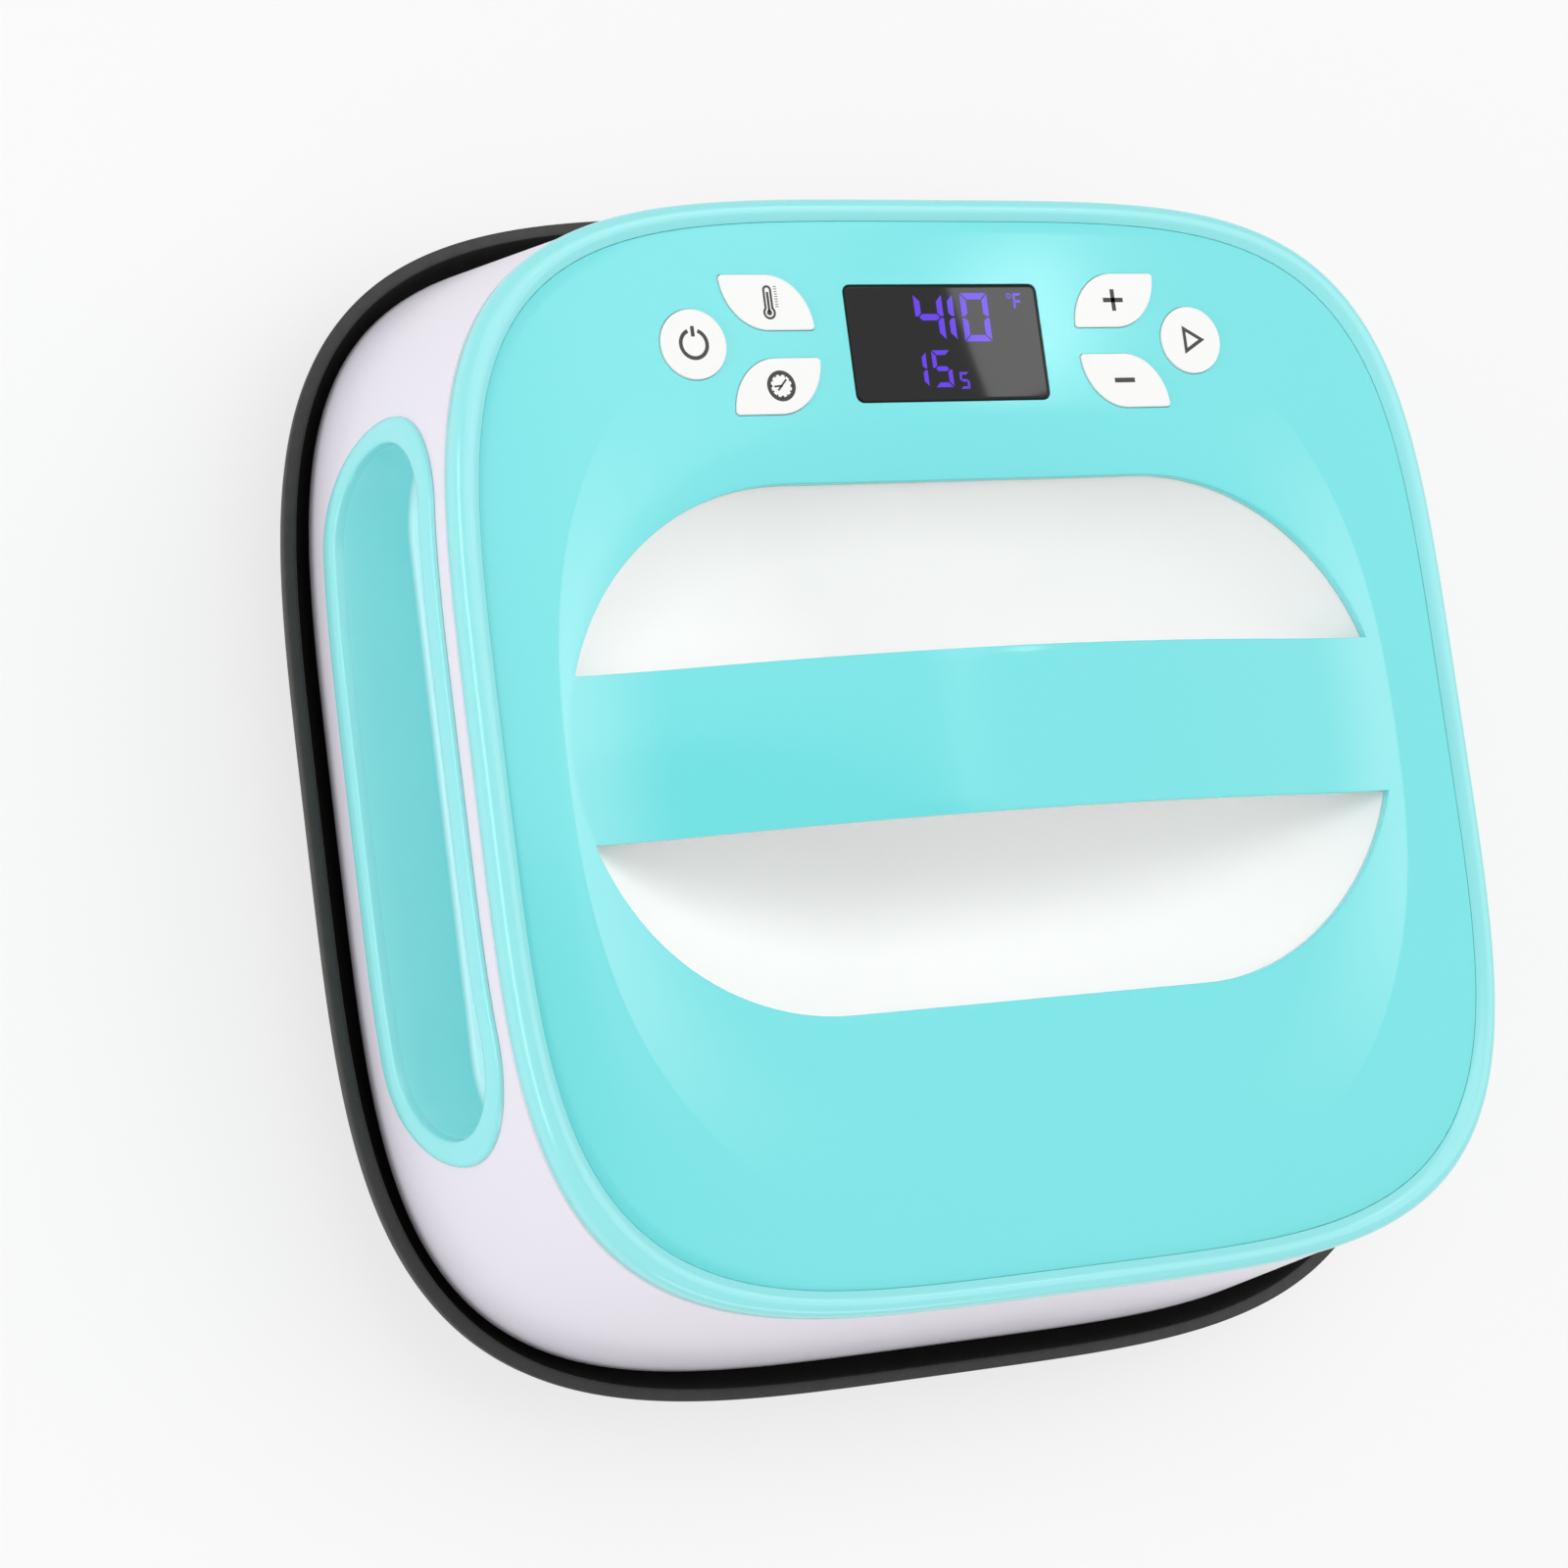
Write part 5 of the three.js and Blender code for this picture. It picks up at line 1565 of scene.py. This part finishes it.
tree = pocket_mint.node_tree
sideways = node(tree, "ShaderNodeSeparateXYZ", {0: own_place(tree)}).outputs[0]
from_middle = math(tree, "ABSOLUTE", sideways)
# Painted highlight: the pocket's floor is given a paler mint than its walls.
on_wall = ramp(tree, from_middle, *(float(POCKET_FLOOR + v) for v in FLOOR_EDGE), 0, 1)
painted_floor_highlight = mixed_colour(tree, on_wall, linear(196, 242, 244), linear(146, 228, 230))
source = next(made for made in tree.nodes if made.type == "GROUP")
tree.links.new(painted_floor_highlight, source.inputs["Color"])

set_shader(lit, Emission_Color=linear(98, 50, 230), Emission_Strength=1.0)
glance(lit, 0.14)
print("materials", len(bpy.data.materials))

# %% [markdown]
# ## Putting the pieces on their bodies
#
# Each piece now takes its finish and rides the body of the nodes that it stands for. That is done
# after all finishes are made, so that pieces of one moulding colour share one material.

# %% Pieces
place(panel, "press", mint, "mint_plastic", "face_panel")
place(rim, "press", bead_mint_painted_highlight, "mint_plastic", "rim_bezel")
place(bowl, "press", bowl_white, "white_plastic", "hand_well")
place(grip, "press", bowl_white, "white_plastic", "grip_underside")
place(shell, "press", white, "white_plastic", "body_shell")
place(cover, "press", white, "white_plastic", "bottom_cover")
place(pocket_left, "press", pocket_mint, "mint_pocket", "side_pocket_left")
place(pocket_right, "press", pocket_mint, "mint_pocket", "side_pocket_right")
place(gland, "press", rubber, "rubber", "cord_gland")
place(plate, "press", coating, "plate_coating", "heat_plate")
place(window, "press", smoked, "dark_window", "display_window")
place(digits, "press", lit, "dark_window")
place(tray, "base", sand_black, "black_textured", "base_tray")
for number in range(4):
    place(feet[number], "base", rubber, "rubber", f"base_foot_{number + 1}")
    place(cover_screws[number], "press", steel, "steel", f"cover_screw_{number + 1}")
for name in BUTTONS:
    place(caps[name], f"{name}_cap", cap_white, "button_white", f"{name}_button")
    place(signs[name], f"{name}_cap", ink, "black_plastic")

# %% [markdown]
# The soft ring round a pocket takes the rim's lighter mint, whose painted highlight stands for the
# gloss that its curve catches. Its faces are those that lie outside the mouth's stadium and near the
# case's side, and they take the rim's finish as a second material. A ring of its own would need a
# joint that the real moulding doesn't have.

# %% Rings of the pockets
RING_OVERLAP = 0.3 * MM
RING_DEPTH = 0.9 * MM


def colour_ring(pocket):
    """Gives the faces of a pocket's ring the rim's finish, whose lighter mint is a painted highlight.
    """
    centres = np.empty(len(pocket.data.polygons) * 3)
    pocket.data.polygons.foreach_get("center", centres)
    x, y, z = centres.reshape(-1, 3).T
    along = np.maximum(np.abs(y - POCKET_Y) - (POCKET_HALF - POCKET_RADIUS), 0)
    beyond = np.hypot(along, z - POCKET_Z) > POCKET_RADIUS - RING_OVERLAP
    outer = np.abs(x) > case_x(y, z) - RING_DEPTH
    pocket.data.materials.append(bead_mint_painted_highlight)
    pocket.data.polygons.foreach_set("material_index", (beyond & outer).astype(int))
    print(pocket.name, "ring faces", int((beyond & outer).sum()))


colour_ring(pocket_left)
colour_ring(pocket_right)

# %% [markdown]
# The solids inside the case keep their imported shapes, since a cover hides them in every picture. They
# still take finishes by what they are made of, so that an opened case would look right.

# %% Solids inside the case
INSIDE = {
    "steel": (steel, ["heater_tube", "temperature_probe", "standoff", "case_screw", "board_screw"]),
    "ceramic": (glazed, ["heater_terminal", "thermostat"]),
    "white_plastic": (white, ["thermal_fuse"]),
    "wool": (wool, ["insulation_blanket"]),
    "aluminium": (aluminium, ["heat_shield", "heat_sink"]),
    "black_plastic": (dull_black, ["display_module", "buzzer", "switch"]),
    "green_board": (board_green, ["control_board", "power_board"]),
    "blue_plastic": (blue, ["relay"]),
    "grey_parts": (grey, ["transformer", "ribbon_cable"]),
}
shown = [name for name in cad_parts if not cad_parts[name].hide_render]
dressed = []
for slot, (material, stems) in INSIDE.items():
    for name in shown:
        if any(stem in name for stem in stems):
            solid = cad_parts[name]
            solid.data.materials.clear()
            solid.data.materials.append(material)
            dressed.append(name)
print("dressed", len(dressed), "of", len(shown), sorted(set(shown) - set(dressed)))

# %% [markdown]
# ## Floor and light
#
# The press stands on a pale floor in white surroundings. Rays that come straight from the camera,
# from a mirror-like surface or through glass see the floor lightened and the world pure white, and
# the others take an even light grey. So the background stays white and a soft shadow lies on it. A
# white floor with plain light would either turn grey or lose the shadow.

# %% Floor
FLOOR_HALF = 4.0
FLOOR_GLOW = 0.7


def plain_sight(tree):
    """1 for the rays that show the background: to the camera, mirrored or through glass."""
    path = node(tree, "ShaderNodeLightPath").outputs
    bounced = math(tree, "MAXIMUM", path["Is Glossy Ray"], path["Is Transmission Ray"])
    return math(tree, "MAXIMUM", path["Is Camera Ray"], bounced)


corners = lift(np.array([(-1, -1), (1, -1), (1, 1), (-1, 1)]) * FLOOR_HALF, 0)
floor_mesh = bpy.data.meshes.new("floor")
floor_mesh.from_pydata(corners.tolist(), [], [(0, 1, 2, 3)])
floor = bpy.data.objects.new("floor", floor_mesh)
bpy.context.scene.collection.objects.link(floor)
floor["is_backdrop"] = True
pale = bpy.data.materials.new("pale floor")
pale.use_nodes = True
tree = pale.node_tree
tree.nodes.clear()
matt = node(tree, "ShaderNodeBsdfDiffuse", {"Color": (0.82, 0.82, 0.82, 1.0)})
glow = node(tree, "ShaderNodeEmission", {"Color": (1.0, 1.0, 1.0, 1.0), "Strength": 1.0})
share = math(tree, "MULTIPLY", plain_sight(tree), FLOOR_GLOW)
both = node(tree, "ShaderNodeMixShader", {0: share, 1: matt.outputs[0], 2: glow.outputs[0]})
node(tree, "ShaderNodeOutputMaterial", {"Surface": both.outputs[0]})
floor_mesh.materials.append(pale)
print("floor", FLOOR_HALF * 2, "m a side")

# %% World
world = bpy.data.worlds.new("studio")
bpy.context.scene.world = world
world.use_nodes = True
tree = world.node_tree
tree.nodes.clear()
toward = node(tree, "ShaderNodeTexCoord").outputs["Generated"]
height = node(tree, "ShaderNodeSeparateXYZ", {0: toward}).outputs[2]
soft = ramp(tree, height, -0.1, 1.0, 0.72, 0.69)
dome = node(tree, "ShaderNodeBackground", {"Strength": soft})
backdrop = node(tree, "ShaderNodeBackground", {"Color": (1.0, 1.0, 1.0, 1.0), "Strength": 1.0})
both = node(tree, "ShaderNodeMixShader", {
    0: plain_sight(tree), 1: dome.outputs[0], 2: backdrop.outputs[0],
})
node(tree, "ShaderNodeOutputWorld", {"Surface": both.outputs[0]})
print("world", world.name)

# %% [markdown]
# ### Where the mirrored lamps stand
#
# Gloss shows where a lamp stands, so two of the lamps are placed backwards. The camera's sight of a
# place on the face is mirrored there, and a lamp's edge on that mirrored line shows at that place.
# Trying places by eye would take many renders.

# %% Mirrored points
SLOPE_STEP = 0.5 * MM


def face_level(x, y):
    """Level of the face or the handle at a place."""
    on_handle = abs(y) <= HANDLE_HALF and abs(x) < well_edge_x(y)
    return PANEL_TOP + (handle_rise(x, y) if on_handle else -dish_at(x, y))


def mirrored_point(x, y, distance):
    """The point at a distance that the camera sees mirrored in the face at a place."""
    step = SLOPE_STEP
    slope_x = (face_level(x + step, y) - face_level(x - step, y)) / (2 * step)
    slope_y = (face_level(x, y + step) - face_level(x, y - step)) / (2 * step)
    normal = np.array([-slope_x, -slope_y, 1])
    normal /= np.linalg.norm(normal)
    place = np.array([x, y, face_level(x, y)])
    sight = place - np.array(CAMERA_PLACE)
    sight /= np.linalg.norm(sight)
    return place + distance * (sight - 2 * (sight @ normal) * normal)


print("mirrored from the handle's middle", np.round(mirrored_point(0.0, 0.0, 1.0), 2))

# %% [markdown]
# ### The five lamps
#
# A thin lamp makes the slanted streak of glare on the display window. A key softbox far above the
# press brings the sheen on the handle and on the face, and its edge falls across the handle. Three
# smaller softboxes light the case from the left, from the front, and from behind and above. All are
# area lamps, because their size sets how soft the shadows and the edges of the sheen are.

# %% Lamp helpers
def add_lamp(name, centre, right, up, size, radiance):
    """A rectangular lamp of even radiance that shines against the direction right x up."""
    data = bpy.data.lights.new(name, "AREA")
    data.shape = "RECTANGLE"
    data.size, data.size_y = (float(v) for v in size)
    data.energy = float(radiance * np.pi * size[0] * size[1])
    lamp = bpy.data.objects.new(name, data)
    bpy.context.scene.collection.objects.link(lamp)
    turn = np.eye(4)
    turn[:3, 0], turn[:3, 1], turn[:3, 2] = right, up, np.cross(right, up)
    turn[:3, 3] = centre
    lamp.matrix_world = Matrix(turn.tolist())
    print(name, "at", np.round(centre, 2), "energy", round(data.energy, 2))


def edge_lamp(name, top, bottom, width, beyond, radiance):
    """A lamp whose left edge runs through two points and goes on above and below them."""
    up = (top - bottom) / np.linalg.norm(top - bottom)
    back = (top + bottom) / 2 - np.array([0, 0, PANEL_TOP])
    back -= (back @ up) * up
    back /= np.linalg.norm(back)
    right = np.cross(up, back)
    high, low = top + up * beyond, bottom - up * beyond
    centre = (high + low) / 2 + right * width / 2
    add_lamp(name, centre, right, up, (width, np.linalg.norm(high - low)), radiance)


def softbox(name, centre, size, radiance):
    """A level rectangular lamp at a place that faces the press."""
    back = np.array(centre) - [0, 0, 0.05]
    back /= np.linalg.norm(back)
    right = np.cross([0, 0, 1], back)
    right /= np.linalg.norm(right)
    add_lamp(name, centre, right, np.cross(back, right), size, radiance)


print("lamp helpers ready")

# %% Lamps
GLARE_DISTANCE, KEY_DISTANCE = 1.0, 8.0
KEY_EDGE = -20 * MM

window_x, window_y = window_middle
glare_top = mirrored_point(window_x + 2.0 * MM, window_y + WINDOW_HALF[1], GLARE_DISTANCE)
glare_bottom = mirrored_point(window_x + 9.8 * MM, window_y - WINDOW_HALF[1], GLARE_DISTANCE)
edge_lamp("window glare", glare_top, glare_bottom, 0.06, 0.006, 8.0)
key_top, key_bottom = (mirrored_point(KEY_EDGE, y, KEY_DISTANCE) for y in (20 * MM, -20 * MM))
edge_lamp("key softbox", key_top, key_bottom, 7.5, 2.8, 1.75)
softbox("side softbox", [-1.8, 0.1, 0.5], (1.6, 0.8), 3.4)
softbox("front softbox", [0.1, -1.8, 0.4], (1.6, 0.6), 2.2)
softbox("top softbox", [0.1, 0.75, 1.75], (1.6, 1.0), 1.5)

# %% [markdown]
# ## Size of the finished model
#
# The box round the finished surfaces is measured, with the floor left out.

low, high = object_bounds()
